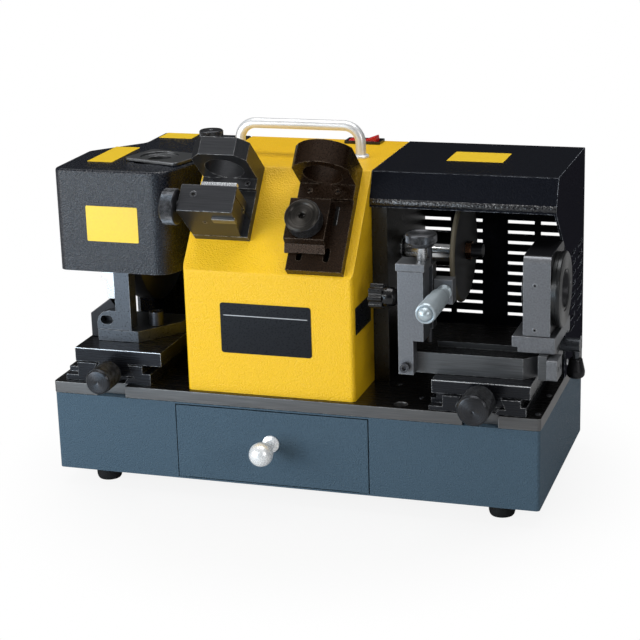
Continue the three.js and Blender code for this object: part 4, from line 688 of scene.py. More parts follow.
# %% [markdown]
# The knurl of a thumb wheel, the marks of a micrometer and the heads of cap screws repeat, so Geometry
# Nodes lay them out. One tree stands ridges round a drum, a second sets marks in a row with every fifth one
# long, and a third puts a socket head on each point of a mesh. The result becomes plain mesh before it
# rides.

# %% Node trees for what repeats
HEAD_SIDES = 24
RIM_RISE = 0.25
RIM_SCALE = 0.86
FLOOR_SHARE = 0.84


def geometry_tree(name, inputs):
    return new_tree("GeometryNodeTree", name, {"Geometry": "Geometry", **inputs, "Finish": "Material"},
                    {"Geometry": "Geometry"})


def close_tree(tree, given, result, geometry):
    """Ends a tree the same way each time: real mesh, one finish."""
    real = add(tree, "GeometryNodeRealizeInstances", {"Geometry": geometry}).outputs["Geometry"]
    coat = add(tree, "GeometryNodeSetMaterial", {"Geometry": real, "Material": given["Finish"]})
    fill_inputs(tree, result, {"Geometry": coat.outputs["Geometry"]})
    return tree


def ridges_round_tree():
    """Four-sided ridges round a drum, standing along its axis from Start for Length."""
    tree, given, result = geometry_tree("ridges_round", {
        "Count": "Int", "Radius": "Float", "Start": "Float", "Length": "Float", "Ridge": "Float"})
    circle = add(tree, "GeometryNodeMeshCircle", {"Vertices": given["Count"], "Radius": given["Radius"]})
    ridge = add(tree, "GeometryNodeMeshCylinder", {
        "Vertices": 4, "Radius": given["Ridge"], "Depth": given["Length"]})
    place = add(tree, "GeometryNodeInputPosition").outputs["Position"]
    face_out = add(tree, "FunctionNodeAlignEulerToVector", {"Vector": place}, axis="X", pivot_axis="Z")
    stand = add(tree, "GeometryNodeInstanceOnPoints", {
        "Points": circle.outputs["Mesh"], "Instance": ridge.outputs["Mesh"],
        "Rotation": face_out.outputs["Rotation"]})
    half = reckon(tree, "MULTIPLY", given["Length"], 0.5)
    lift = add(tree, "ShaderNodeCombineXYZ", {"Z": reckon(tree, "ADD", given["Start"], half)})
    move = add(tree, "GeometryNodeTransform", {
        "Geometry": stand.outputs["Instances"], "Translation": lift.outputs["Vector"]})
    return close_tree(tree, given, result, move.outputs["Geometry"])


def marks_in_row_tree():
    """Engraved lines side by side along X, each fifth one long, standing up from Y = 0."""
    tree, given, result = geometry_tree("marks_in_row", {
        "Count": "Int", "Pitch": "Float", "Short": "Float", "Long": "Float", "Width": "Float",
        "Thickness": "Float"})
    step = add(tree, "ShaderNodeCombineXYZ", {"X": given["Pitch"]}).outputs["Vector"]
    row = add(tree, "GeometryNodeMeshLine", {"Count": given["Count"], "Offset": step}).outputs["Mesh"]
    mark = add(tree, "GeometryNodeMeshCube", {"Size": (1, 1, 1)}).outputs["Mesh"]
    raised = add(tree, "GeometryNodeTransform", {"Geometry": mark, "Translation": (0, 0.5, 0)})
    index = add(tree, "GeometryNodeInputIndex").outputs["Index"]
    is_short = reckon(tree, "GREATER_THAN", reckon(tree, "MODULO", index, 5), 0.5)
    is_long = reckon(tree, "SUBTRACT", 1, is_short)
    height = reckon(tree, "ADD", reckon(tree, "MULTIPLY", is_short, given["Short"]),
                    reckon(tree, "MULTIPLY", is_long, given["Long"]))
    size = add(tree, "ShaderNodeCombineXYZ", {"X": given["Width"], "Y": height, "Z": given["Thickness"]})
    stand = add(tree, "GeometryNodeInstanceOnPoints", {
        "Points": row, "Instance": raised.outputs["Geometry"], "Scale": size.outputs["Vector"]})
    return close_tree(tree, given, result, stand.outputs["Instances"])


def screw_heads_tree():
    """A round socket head on each point, with its hollow, facing along Facing."""
    tree, given, result = geometry_tree("screw_heads", {
        "Radius": "Float", "Height": "Float", "Socket": "Float", "Recess": "Float", "Facing": "Vector"})
    head = add(tree, "GeometryNodeMeshCylinder", {
        "Vertices": HEAD_SIDES, "Radius": given["Radius"], "Depth": given["Height"]}).outputs
    rise = reckon(tree, "MULTIPLY", given["Height"], RIM_RISE)
    sink = reckon(tree, "MULTIPLY", given["Recess"], -1.0)
    geometry, chosen = head["Mesh"], head["Top"]
    for offset, scale in ((rise, RIM_SCALE), (0, given["Socket"]), (sink, None)):
        raised = add(tree, "GeometryNodeExtrudeMesh", {
            "Mesh": geometry, "Selection": chosen, "Offset Scale": offset}, mode="FACES").outputs
        geometry, chosen = raised["Mesh"], raised["Top"]
        if scale is not None:
            shrink = add(tree, "GeometryNodeScaleElements", {
                "Geometry": geometry, "Selection": chosen, "Scale": scale})
            geometry = shrink.outputs["Geometry"]
    face = add(tree, "FunctionNodeAlignEulerToVector", {"Vector": given["Facing"]}, axis="Z")
    stand = add(tree, "GeometryNodeInstanceOnPoints", {
        "Points": given["Geometry"], "Instance": geometry, "Rotation": face.outputs["Rotation"]})
    return close_tree(tree, given, result, stand.outputs["Instances"])


RIDGES = ridges_round_tree()
MARKS = marks_in_row_tree()
HEADS = screw_heads_tree()


def grow(name, tree, values, points=(), matrix=None):
    """Runs a tree with its inputs set by name, and returns the plain result as a new piece."""
    mesh = bpy.data.meshes.new(name)
    mesh.from_pydata([tuple(point) for point in points] or [(0, 0, 0)], [], [])
    piece = new_piece(name, mesh, None)
    modifier = piece.modifiers.new(name, "NODES")
    modifier.node_group = tree
    sockets = {item.name: item.identifier for item in tree.interface.items_tree if item.in_out == "INPUT"}
    for title, value in values.items():
        modifier[sockets[title]] = value
    settle(piece)
    if matrix is not None:
        piece.data.transform(matrix)
    outward(piece.data)
    return piece


def knurl(name, body, count, radius, start, length, place, direction, ridge=0.5, finish=None):
    values = {"Count": count, "Radius": radius * MM, "Start": start * MM, "Length": length * MM,
              "Ridge": ridge * MM, "Finish": finish or KNURLED}
    return add_on(grow(name, RIDGES, values, matrix=axis_frame(place, direction)), body)


def screws(name, body, slot, places, facing, radius=2.6, height=1.2, socket=0.55, recess=1.0):
    """Socket heads on a list of places, each with a dark floor in its socket as painted shade."""
    values = {"Radius": radius * MM, "Height": height * MM, "Socket": socket, "Recess": recess * MM,
              "Facing": facing, "Finish": FINISH[slot]}
    add_on(grow(name, HEADS, values, points=[spot(*place) for place in places]), body)
    floor_at = Vector(facing).normalized() * (height - recess + 0.02) * MM
    values = {"Radius": radius * socket * FLOOR_SHARE * MM, "Height": 0.05 * MM, "Socket": 0.1,
              "Recess": 0.01 * MM, "Facing": facing, "Finish": SHADE_IN_HOLLOWS}
    floors = grow(name + "_floors", HEADS, values, points=[spot(*place) + floor_at for place in places])
    add_on(floors, body)


print("trees", [tree.name for tree in (RIDGES, MARKS, HEADS)])

# %% [markdown]
# The left cover is one folded and welded sheet with a curved plan: a broad front with a large rounded
# corner, then a step inward at the back. It is drawn as a rounded plan, raised to its height, given a soft
# top edge and a sheet thickness inward, and its openings are cut out last.

# %% Left cover
PLAN_STEPS = 10


def rounded_plan(corners, steps=PLAN_STEPS):
    """Points round a plan whose corners are (x, y, radius)."""
    points = []
    count = len(corners)
    for index, (x, y, radius) in enumerate(corners):
        here = Vector((x, y))
        back = (Vector(corners[index - 1][:2]) - here).normalized()
        ahead = (Vector(corners[(index + 1) % count][:2]) - here).normalized()
        if radius <= 0:
            points.append((x, y))
            continue
        half = math.acos(max(-1, min(1, back.dot(ahead)))) / 2
        centre = here + (back + ahead).normalized() * (radius / math.sin(half))
        start = here + back * (radius / math.tan(half)) - centre
        end = here + ahead * (radius / math.tan(half)) - centre
        turn_by = start.angle_signed(end)
        for step in range(steps + 1):
            angle = -turn_by * step / steps
            spun = Vector((
                start.x * math.cos(angle) - start.y * math.sin(angle),
                start.x * math.sin(angle) + start.y * math.cos(angle),
            ))
            points.append(tuple(centre + spun))
    return points


def prism_mesh(name, points, low, high, matrix=None, closed=True):
    """Raises a plan in millimetres from low to high; the matrix places it, or the datum does."""
    count = len(points)
    vertices = [Vector((x, y, z)) * MM for z in (low, high) for x, y in points]
    place = matrix or Matrix.Translation(DATUM)
    faces = [(i, (i + 1) % count, count + (i + 1) % count, count + i) for i in range(count)]
    faces.append(tuple(range(count, 2 * count)))
    if closed:
        faces.append(tuple(reversed(range(count))))
    return mesh_from(name, [place @ vertex for vertex in vertices], faces)


def carve(piece, cutters):
    """Cuts each cutter's mesh out of the piece."""
    helpers = []
    for number, mesh in enumerate(cutters):
        helper = new_piece("cutter_{}".format(number), mesh, None)
        helpers.append(helper)
        cut = piece.modifiers.new("cut", "BOOLEAN")
        cut.operation = "DIFFERENCE"
        cut.solver = "EXACT"
        cut.object = helper
    settle(piece)
    for helper in helpers:
        bpy.data.objects.remove(helper)


def box_plan(x0, x1, y0, y1):
    return [(x0, y0), (x1, y0), (x1, y1), (x0, y1)]


cover_low, cover_high = [(corner - DATUM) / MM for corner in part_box("left_cover")]
COVER_SHEET = 2.0
TOP_EDGE = 2.6
CUT_PAST = 8
GRINDING_AXIS = (0, 115, 110)
HUB_HOLE, HUB_SIDES = 18, 48
FRONT_WIDTH = 104.7
STEP_IN = 37.7
SKIRT_HEIGHT = 96
SKIRT_BACK = 136
HOLDER_AXIS = (-141, 82)
WINDOW_HALF, WINDOW_FRONT, WINDOW_BACK, WINDOW_CORNER = 20.5, 24, 27, 13
cover_plan = rounded_plan([
    (cover_low.x, cover_low.y, 8), (cover_low.x + FRONT_WIDTH, cover_low.y, 17),
    (cover_high.x, 121, 6), (cover_high.x, cover_high.y, 4), (cover_low.x + STEP_IN, cover_high.y, 4),
    (cover_low.x + STEP_IN, 150, 12), (cover_low.x, 105, 12),
])
left_cover = new_piece(
    "left_cover_folded", prism_mesh("left_cover_folded", cover_plan, 0, cover_high.z, closed=False),
    FINISH["black_wrinkle"],
)
top_edge = left_cover.modifiers.new("top_edge", "BEVEL")
top_edge.width = TOP_EDGE * MM
top_edge.segments = 4
top_edge.angle_limit = math.radians(60)
wall = left_cover.modifiers.new("sheet", "SOLIDIFY")
wall.thickness = COVER_SHEET * MM
wall.offset = -1
wall.use_even_offset = True
settle(left_cover)
window_plan = rounded_plan([
    (HOLDER_AXIS[0] + side * WINDOW_HALF, HOLDER_AXIS[1] + reach, WINDOW_CORNER)
    for side, reach in ((-1, -WINDOW_FRONT), (1, -WINDOW_FRONT), (1, WINDOW_BACK), (-1, WINDOW_BACK))
])
hub_angles = [a * math.pi / (HUB_SIDES / 2) for a in range(HUB_SIDES)]
hub_plan = [(HUB_HOLE * math.cos(angle), HUB_HOLE * math.sin(angle)) for angle in hub_angles]
across_machine = Matrix(((0, 0, 1, 0), (1, 0, 0, 0), (0, 1, 0, 0), (0, 0, 0, 1)))
hub_frame = Matrix.Translation(spot(*GRINDING_AXIS)) @ across_machine
side_from, side_to = cover_low.x + FRONT_WIDTH - CUT_PAST, cover_high.x + CUT_PAST
skirt_plan = box_plan(cover_low.x - CUT_PAST, side_to, cover_low.y - CUT_PAST, SKIRT_BACK)
slot_plan = box_plan(side_from, side_to, GRINDING_AXIS[1] - HUB_HOLE, GRINDING_AXIS[1] + HUB_HOLE)
carve(left_cover, [
    prism_mesh("skirt_cut", skirt_plan, -CUT_PAST, SKIRT_HEIGHT),
    prism_mesh("window_cut", window_plan, cover_high.z - CUT_PAST, cover_high.z + CUT_PAST),
    prism_mesh("hub_cut", hub_plan, side_from, side_to, hub_frame),
    prism_mesh("hub_slot", slot_plan, SKIRT_HEIGHT - CUT_PAST, GRINDING_AXIS[2]),
])
finish_edges(left_cover, 0)
stand_for(left_cover, "left_cover")
print("left cover", len(left_cover.data.polygons), "faces")

# %% [markdown]
# The right cover is a folded sheet with rows of vent slots, and its solid is already cut. Its edges stay
# almost sharp, because the slots are only a few millimetres tall. The rolled hem along the lip is a
# separate rod here, so that it can be rounder than the solid's. The front fold along the top is rounded,
# and the right side gets a black without reflection, as painted shade.

# %% Right cover
FOLD_RADIUS = 1.6
ON_FOLD = 0.2
HEM_RADIUS = 4.3
HEM_BEHIND_LIP, HEM_HEIGHT = 3.4, 162.8


def round_fold(mesh, z, radius):
    """Rounds only the front one of the long edges that run across the machine at a height."""
    sculpt = bmesh.new()
    sculpt.from_mesh(mesh)
    places = {vertex: (vertex.co - DATUM) / MM for vertex in sculpt.verts}
    front = min(place.y for place in places.values() if abs(place.z - z) < ON_FOLD)
    fold = []
    for edge in sculpt.edges:
        ends = [places[vertex] for vertex in edge.verts]
        on_fold = all(abs(end.y - front) < ON_FOLD and abs(end.z - z) < ON_FOLD for end in ends)
        if on_fold and abs(ends[0].x - ends[1].x) > 1:
            fold.append(edge)
    bmesh.ops.bevel(sculpt, geom=fold, offset=radius * MM, segments=4, affect="EDGES", profile=0.5)
    sculpt.to_mesh(mesh)
    sculpt.free()
    return len(fold)


right_cover = new_piece("right_cover_dressed", merged_copy("right_cover"), NODE_FINISH["right_cover"])
hem_low, hem_high = [(corner - DATUM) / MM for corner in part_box("right_cover")]
folded = round_fold(right_cover.data, hem_high.z, FOLD_RADIUS)
finish_edges(right_cover, 0.25, 1)
stand_for(right_cover, "right_cover")
# The cover's right faces get the darker copy as painted shade.
second_finish(right_cover, SHADED_SIDE_BLACK, lambda place, normal: normal.x > SQUARE_ON)
print(folded, "edges on the fold")
hem_length = hem_high.x - hem_low.x
turned_extra(
    "right_cover_hem", [(0, 0), (HEM_RADIUS, 0), (HEM_RADIUS, hem_length), (0, hem_length)],
    axis_frame((hem_low.x, hem_low.y + HEM_BEHIND_LIP, HEM_HEIGHT), RIGHTWARD), 0.8, 40, HEM_BLACK,
    "frame")
print("right cover", len(right_cover.data.polygons), "faces")

# %% [markdown]
# Feet, the drawer's ball knob and the two wheels are plain turned work. The ball is a true sphere on a neck
# with a flange, and the wheels keep their hollow and their hub, with the abrasive only where it cuts.

# %% Feet, drawer knob and wheels
FOOT_SOLE = -97.9
for node in ("foot_front_left", "foot_front_right", "foot_rear_left", "foot_rear_right"):
    foot_middle = (middle(node) - DATUM) / MM
    turn(node, [(0, 0), (10.2, 0), (11.5, 4), (11.5, 15.6), (0, 15.6)],
         (foot_middle.x, foot_middle.y, FOOT_SOLE), UPWARD, 1.4)

BALL_RADIUS = 10.5
BALL_REACH = 26.5
BALL_NECK = -9.62
BALL_STEPS = 24
ball_profile = [(0, 0), (7.6, 0), (7.6, 1.6), (6.4, 2.4), (4.4, 3.0), (4.2, 16.88)]
for step in range(1, BALL_STEPS + 1):
    angle = math.acos(BALL_NECK / BALL_RADIUS) * (1 - step / BALL_STEPS)
    ball_profile.append((BALL_RADIUS * math.sin(angle), BALL_REACH + BALL_RADIUS * math.cos(angle)))
ball_profile[-1] = (0, BALL_REACH + BALL_RADIUS)
turn("drawer_knob", ball_profile, (-16.05, -0.5, -42), FORWARD, 0)


def off_axis(place, axis):
    """How far a place is from an axis that runs across the machine."""
    return math.hypot(place.y - axis[1], place.z - axis[2])


CUP_FACE_X, WHEEL_FACE_X, HUB_X = -174, 126.8, 78.2
RIM_DEPTH, CUP_RIM, WHEEL_RIM = 5, 45, 43.5
cup_wheel = turn("left_cup_wheel", [
    (8.3, 11), (46, 11), (46, 0), (60, 0), (60, 18), (34, 24), (15, 24), (15, 79.6), (8.3, 79.6),
], (CUP_FACE_X, *GRINDING_AXIS[1:]), RIGHTWARD, 0.8, material=FINISH["dark_steel"])
second_finish(cup_wheel, FINISH["abrasive"],
              lambda p, n: p.x < CUP_FACE_X + RIM_DEPTH and off_axis(p, GRINDING_AXIS) > CUP_RIM)

wheel_face = turned_metal("wheel_face", GRINDING_AXIS, "X", "4A4B4E", "2C2D2F", 0.36, 0.25, 0.6)
grinding_wheel = turn("right_grinding_wheel", [
    (6.3, 0), (44, 0), (46, 1.4), (46, 3.2), (44, 4.5), (6.3, 4.5),
], (WHEEL_FACE_X, *GRINDING_AXIS[1:]), RIGHTWARD, 0.3, material=wheel_face)
second_finish(grinding_wheel, FINISH["abrasive"], lambda p, n: off_axis(p, GRINDING_AXIS) > WHEEL_RIM)
hub_finish = turned_metal("polished_hub", GRINDING_AXIS, "X", "E4E5E6", "C9CBCD", 0.12, 0.1)
turn("right_wheel_hub", [
    (8.3, 0), (13.6, 0), (15, 1.4), (15, 44), (14.2, 45), (14.2, 48.4), (6.3, 48.4), (6.3, 40), (8.3, 40),
], (HUB_X, *GRINDING_AXIS[1:]), RIGHTWARD, 0.4, material=hub_finish)
print("feet, drawer knob and wheels turned")

# %% [markdown]
# The knobs that an operator turns are knurled steel. Each one is a turned drum, a hair smaller than its
# solid, with Geometry Nodes laying the ridges of the knurl round it, and a face finished with rings.

# %% Knurled knobs
DARK_TURNED = ("505154", "232427")


def feed_knob(node, x, z, radius, length, screw_length, body):
    place = (x, 0, z)
    finish = turned_metal(node + "_face", place, "Y", *DARK_TURNED, 0.3, 0.5, 0.95)
    turn(node, [
        (0, -screw_length), (3, -screw_length), (3, 0.6), (radius - 1.6, 0.6), (radius - 0.5, 1.8),
        (radius - 0.5, length - 1.6), (radius - 1.9, length), (1.6, length), (0, length - 0.8),
    ], place, FORWARD, 0.3, material=finish)
    knurl(node + "_knurl", body, 76, radius - 0.55, 2.0, length - 4.4, place, FORWARD)


feed_knob("left_feed_knob", -165, 11.7, 11.75, 28, 62, "left_feed")
feed_knob("right_feed_knob", 169.3, 12.9, 13.75, 29, 66, "right_feed")

COVER_KNOB = (-128.8, 180, 188.5)
turn("left_cover_knob", [
    (0, 0), (4, 0), (4, 1.2), (10.6, 1.2), (10.8, 2), (10.8, 6.9), (10.2, 7.5), (3, 7.5), (2.4, 6.6),
    (0, 6.6),
], COVER_KNOB, UPWARD, 0.3)
knurl("left_cover_knob_knurl", "cover_screw", 70, 10.8, 1.8, 4.6, COVER_KNOB, UPWARD)

THUMB = (114.2, 25, 100)
PIN_RADIUS, PIN_TOP = 5, 135
thumb_finish = turned_metal("thumb_knob_face", THUMB, "Z", "6A6B6E", "3A3B3E", 0.36, 0.4, 0.8)
thumb_knob = turn("thumb_knob", [
    (0, 0), (4, 0), (4, 35.8), (9.5, 35.8), (12.7, 39.6), (12.8, 46.2), (12.0, 47.3), (9.4, 47.3),
    (8.6, 46.7), (0, 46.7),
], THUMB, UPWARD, 0.3, material=thumb_finish)
second_finish(thumb_knob, FINISH["bright_steel"],
              lambda p, n: math.hypot(p.x - THUMB[0], p.y - THUMB[1]) < PIN_RADIUS and p.z < PIN_TOP)
knurl("thumb_knob_knurl", "rest_knob", 78, 12.75, 40, 5.8, THUMB, UPWARD)
print("knurled knobs done")

# %% [markdown]
# The lock knob on the tooth rest's side is moulded plastic with eight lobes, so that wet fingers can turn
# it. Its plan is a circle with a wave on it, raised along the knob's axis, and a turned barrel carries it.

# %% Lobed side knob
LOBES = 8
LOBE_STEPS = 96
LOBE_RADIUS, LOBE_DEPTH, LOBE_SQUARENESS = 9.9, 1.1, 2.2
SIDE_KNOB = (70.5, 21, 91.5)
lobed_plan = []
for step in range(LOBE_STEPS):
    angle = 2 * math.pi * step / LOBE_STEPS
    lobe_radius = LOBE_RADIUS + LOBE_DEPTH * math.tanh(LOBE_SQUARENESS * math.cos(LOBES * angle))
    lobed_plan.append((lobe_radius * math.cos(angle), lobe_radius * math.sin(angle)))
side_frame = axis_frame(SIDE_KNOB, RIGHTWARD)
side_knob = new_piece("side_knob_lobed", prism_mesh("side_knob_lobed", lobed_plan, 0, 12, side_frame),
                      FINISH["black_plastic"])
finish_edges(side_knob, 1.4, 3)
stand_for(side_knob, "side_knob")
turned_extra("side_knob_barrel", [
    (0, 11), (8.2, 11), (8.5, 16), (7.8, 20.5), (5.6, 23.6), (4, 24), (4, 26.2), (2.7, 26.2), (2.7, 32.3),
    (0, 32.3),
], side_frame, 0.6, 48, FINISH["black_plastic"], "side_lock")
print("lobed knob", len(side_knob.data.polygons), "faces")

# %% [markdown]
# The chuck's flange ring, the micrometer and the lever's grip are turned too. The micrometer has a fixed
# sleeve with a line scale, and a thimble whose bevelled lip carries fifty marks, one for each hundredth.

# %% Chuck ring
CHUCK_AXIS = (196, 60, 95.4)
RING_BORE = 15.2
chuck_finish = turned_metal("chuck_ring_face", CHUCK_AXIS, "X", "4A4B4C", "2A2B2C", 0.36, 0.35, 0.85)
chuck_ring = turn("chuck_sleeve", [
    (14.7, 0), (22, 0), (22, 26.3), (31.6, 26.3), (31.6, 29.2), (32.5, 29.9), (32.5, 32.5), (31.4, 33.3),
    (18.6, 33.3), (18.0, 32.6), (17.0, 32.6), (16.4, 33.3), (15.7, 33.3), (14.7, 32.3),
], CHUCK_AXIS, RIGHTWARD, 0.25, material=chuck_finish)
# The bore's inner faces get the black finish as painted shade inside the hollow.
second_finish(chuck_ring, BLACK_AND_SHADE, lambda p, n: off_axis(p, CHUCK_AXIS) < RING_BORE)
screws("chuck_ring_screws", "chuck", "dark_steel", [(229.0, 36, 95.4), (229.0, 84, 95.4)], RIGHTWARD,
       1.9, 0.6, 0.5, 0.5)
print("chuck ring turned")

# %% Micrometer
MIC_AXIS = (131.4, 22, 94.5)
THIMBLE_LIP = 6.0
DOME_STEPS = 8
SCALE_PLACE, SCALE_LEAN = (129.73, 22.4, 100.3), math.radians(-24)
mic_finish = turned_metal("micrometer_satin", MIC_AXIS, "Y", "C9D4DA", "A9B6BD", 0.34, 0.1, 0.6)
turn("micrometer_sleeve", [
    (3.6, -24), (4.8, -24), (4.8, -11.7), (6.6, -11.7), (6.6, -9.3), (6.1, -9.1), (6.1, -8.2), (6.5, -8.0),
    (6.5, -6.6), (6, -6.4), (6, 26), (3.6, 26),
], MIC_AXIS, FORWARD, 0.15, material=mic_finish)
thimble = [(6.3, 0), (6.7, 0), (8.1, THIMBLE_LIP), (8.1, 21), (8.7, 21.6), (8.7, 52.6), (8.0, 54),
           (6.6, 54), (6.2, 53.2), (6.0, 54.2)]
for step in range(1, DOME_STEPS + 1):
    angle = math.pi / 2 * step / DOME_STEPS
    thimble.append((6.0 * math.cos(angle), 54.2 + 4.8 * math.sin(angle)))
thimble[-1] = (0, 59)
thimble += [(0, 50), (6.3, 50)]
turn("micrometer_thimble", thimble, MIC_AXIS, FORWARD, 0.15, material=mic_finish)
turn("micrometer_spindle", [(0, -28), (3.2, -28), (3.2, 30), (0, 30)], MIC_AXIS, FORWARD, 0.3,
     material=mic_finish)
MARK_ENDS = {"Width": 0.22 * MM, "Thickness": 0.12 * MM, "Finish": MARK_BLACK}
knurl("thimble_marks", "mic_drum", 50, 8.06, 6.3, 2.2, MIC_AXIS, FORWARD, 0.13, MARK_BLACK)
scale_turn = Matrix.Rotation(SCALE_LEAN, 4, "Y") @ Matrix.Rotation(math.radians(90), 4, "Z")
SCALE = {"Count": 10, "Pitch": 0.8 * MM, "Short": 1.2 * MM, "Long": 2.0 * MM, **MARK_ENDS}
scale_frame = Matrix.Translation(spot(*SCALE_PLACE)) @ scale_turn
sleeve_scale = grow("sleeve_scale", MARKS, SCALE, matrix=scale_frame)
add_on(sleeve_scale, "rest_slide")
knurl("thimble_knurl", "mic_drum", 60, 8.62, 40, 11, MIC_AXIS, FORWARD, 0.22, mic_finish)
print("micrometer done")

# %% Lever grip and carrying handle
turn("clamp_lever_grip", [
    (0, 0), (5.6, 0), (5.9, 2), (8, 11.5), (7.6, 15.5), (5.4, 17.5), (0, 18),
], (234, 88, 26), DOWNWARD, 1.2)

HANDLE_LEFT, HANDLE_RIGHT, HANDLE_FOOT = -77.4, 35.2, 188.2
HANDLE_TOP, HANDLE_BEND, HANDLE_RADIUS, HANDLE_Y = 216.15, 15, 4.65, 120
TUBE_SIDES, BEND_STEPS = 32, 12
handle_path = [(HANDLE_LEFT, HANDLE_FOOT, 0.0)]
for step in range(BEND_STEPS + 1):
    angle = math.pi / 2 * step / BEND_STEPS
    handle_path.append((HANDLE_LEFT + HANDLE_BEND * (1 - math.cos(angle)),
                        HANDLE_TOP - HANDLE_BEND * (1 - math.sin(angle)), angle))
for x, z, angle in reversed(handle_path[:]):
    handle_path.append((HANDLE_LEFT + HANDLE_RIGHT - x, z, math.pi - angle))
tube_points = []
for x, z, angle in handle_path:
    for side in range(TUBE_SIDES):
        around = 2 * math.pi * side / TUBE_SIDES
        across = HANDLE_RADIUS * math.cos(around)
        tube_points.append(spot(x - across * math.cos(angle), HANDLE_Y + HANDLE_RADIUS * math.sin(around),
                                z + across * math.sin(angle)))
loops = [range(start, start + TUBE_SIDES) for start in range(0, len(tube_points), TUBE_SIDES)]
tube_faces = []
for lower, upper in zip(loops, loops[1:]):
    for side in range(TUBE_SIDES):
        after = (side + 1) % TUBE_SIDES
        tube_faces.append((lower[side], lower[after], upper[after], upper[side]))
tube_faces += [tuple(loops[0]), tuple(reversed(loops[-1]))]
handle_mesh = shade_round(mesh_from("carry_handle_tube", tube_points, tube_faces))
stand_for(new_piece("carry_handle_tube", handle_mesh, FINISH["aluminium"]), "carry_handle")
for side, x in (("left", HANDLE_LEFT), ("right", HANDLE_RIGHT)):
    turned_extra("handle_collar_" + side, [(4.5, 0), (7.4, 0), (7.4, 1.6), (6.4, 2.6), (4.5, 2.6)],
                 axis_frame((x, HANDLE_Y, HANDLE_FOOT), UPWARD), 0.4, 48, FINISH["aluminium"],
                 "frame")
print("handle", len(handle_mesh.polygons), "faces")

# %% [markdown]
# The two fixtures stand on the housing's slope, so their pieces are easier to place in the slope's own
# directions: across, up the slope and out of it.

# %% Fixture knobs on the slope
SLOPE_FOOT = (5, 108.8)
SLOPE_HEAD = (70, 188.2)
SLOPE_ANGLE = math.atan2(SLOPE_HEAD[1] - SLOPE_FOOT[1], SLOPE_HEAD[0] - SLOPE_FOOT[0])
SLOPE = Matrix.Translation(spot(0, *SLOPE_FOOT)) @ Matrix.Rotation(SLOPE_ANGLE, 4, "X")


def on_slope(x, up, out):
    """The place of a slope point in millimetres from the datum."""
    return tuple((SLOPE @ (Vector((x, up, out)) * MM) - DATUM) / MM)


out_of_slope = tuple(SLOPE.to_3x3() @ Vector((0, 0, 1)))
left_lock_place = on_slope(-87.3, 38, 46)
turn("left_jig_knob", [
    (0, -14), (3, -14), (3, 0), (6, 0), (6, 1.4), (13.9, 1.4), (15, 2.6), (15, 12.8), (13.6, 14.4),
    (9, 14.4), (8, 13.6), (0, 13.6),
], left_lock_place, LEFTWARD, 0.3,
     material=turned_metal("left_jig_knob_face", left_lock_place, "X", "3E3F42", "222326", 0.38, 0.35, 0.8))
knurl("left_jig_knob_knurl", "left_jig_lock", 90, 14.95, 2.6, 10.2, left_lock_place, LEFTWARD)
right_lock_place = on_slope(17, 41, 20.3)
turn("right_jig_knob", [
    (0, -11.3), (3, -11.3), (3, 0), (13.9, 0), (15, 1.4), (15, 14.2), (13.6, 15.7), (11.4, 15.7),
    (10.2, 14.5), (3.4, 14.5), (2.5, 13.6), (2.5, 9.7), (0, 9.7),
], right_lock_place, out_of_slope, 0.3,
     material=turned_metal("right_jig_knob_face", right_lock_place, "slope", "45423E", "1F1D1B", 0.34, 0.3,
                           0.85))
knurl("right_jig_knob_knurl", "right_jig_lock", 90, 14.95, 1.4, 12.8, right_lock_place,
      out_of_slope)
print("slope at", round(math.degrees(SLOPE_ANGLE), 2), "degrees")

# %% [markdown]
# Small fittings on the two fixtures and beside the micrometer: a hardened blade let into the left block, a
# bright strip behind it as a painted highlight, set screws, the dark floors under the right fixture's slots
# as painted shade, and the micrometer's clamp.

# %% Fittings on the fixtures
UP_SLOPE = SLOPE.to_3x3() @ Vector((0, 1, 0))


def block(name, low, high, material, node, matrix=None, width=0.3):
    """A box with broken edges, from two corners in millimetres, that rides with the node's body."""
    plan = box_plan(low[0], high[0], low[1], high[1])
    made = new_piece(name, prism_mesh(name, plan, low[2], high[2], matrix), material)
    finish_edges(made, width, 1)
    return add_on(made, BODIES[node])


block("block_blade", (-58, 28.6, 37.2), (-37.4, 31.4, 44.2), HARDENED, "left_jig_block", SLOPE)
# A bright strip behind the blade, as a painted highlight.
block("block_highlight_strip", (-70, 55.5, 49), (-38, 59.2, 53.4), FINISH["bright_steel"], "left_jig_block", SLOPE)
for name, place, facing, sizes in (
    ("block_top_screw", (-74.7, 46.9, 54), out_of_slope, (3.0, 0.35, 0.7, 0.34)),
    ("block_low_screw", (-67.4, 30.6, 33.8), tuple(-UP_SLOPE), (2.2, 0.4, 0.7, 0.35)),
    ("block_side_screw", (-37, 45.2, 30.4), RIGHTWARD, (3.0, 0.8, 0.55, 0.7)),
):
    screws(name, BODIES["left_jig_block"], "dark_steel", [on_slope(*place)], facing, *sizes)
# A thin dark sheet at the split between block and plate, as painted shade in the gap.
block("block_split", (-37.2, 46, 9), (-36.95, 46.6, 53.5), SHADE_IN_HOLLOWS, "left_jig_block", SLOPE, 0.05)
# Dark plates under the right fixture's slots, as painted shade.
for side, x in (("left", 12), ("right", 36)):
    block("slot_floor_" + side, (x - 3, 9, 0.05), (x + 3, 26, 1.5), SHADE_IN_HOLLOWS, "right_jig_body", SLOPE)
# A dark strip on the plate as the painted shade of a groove, and a lighter strip beside it as its painted
# highlight.
block("plate_groove", (36.8, 45, 8.4), (39.4, 63, 8.58), SHADE_IN_HOLLOWS, "right_jig_body", SLOPE, 0.05)
block("plate_groove_edge", (39.5, 45.5, 8.4), (40.1, 62.5, 8.62), HARDENED, "right_jig_body", SLOPE, 0.05)
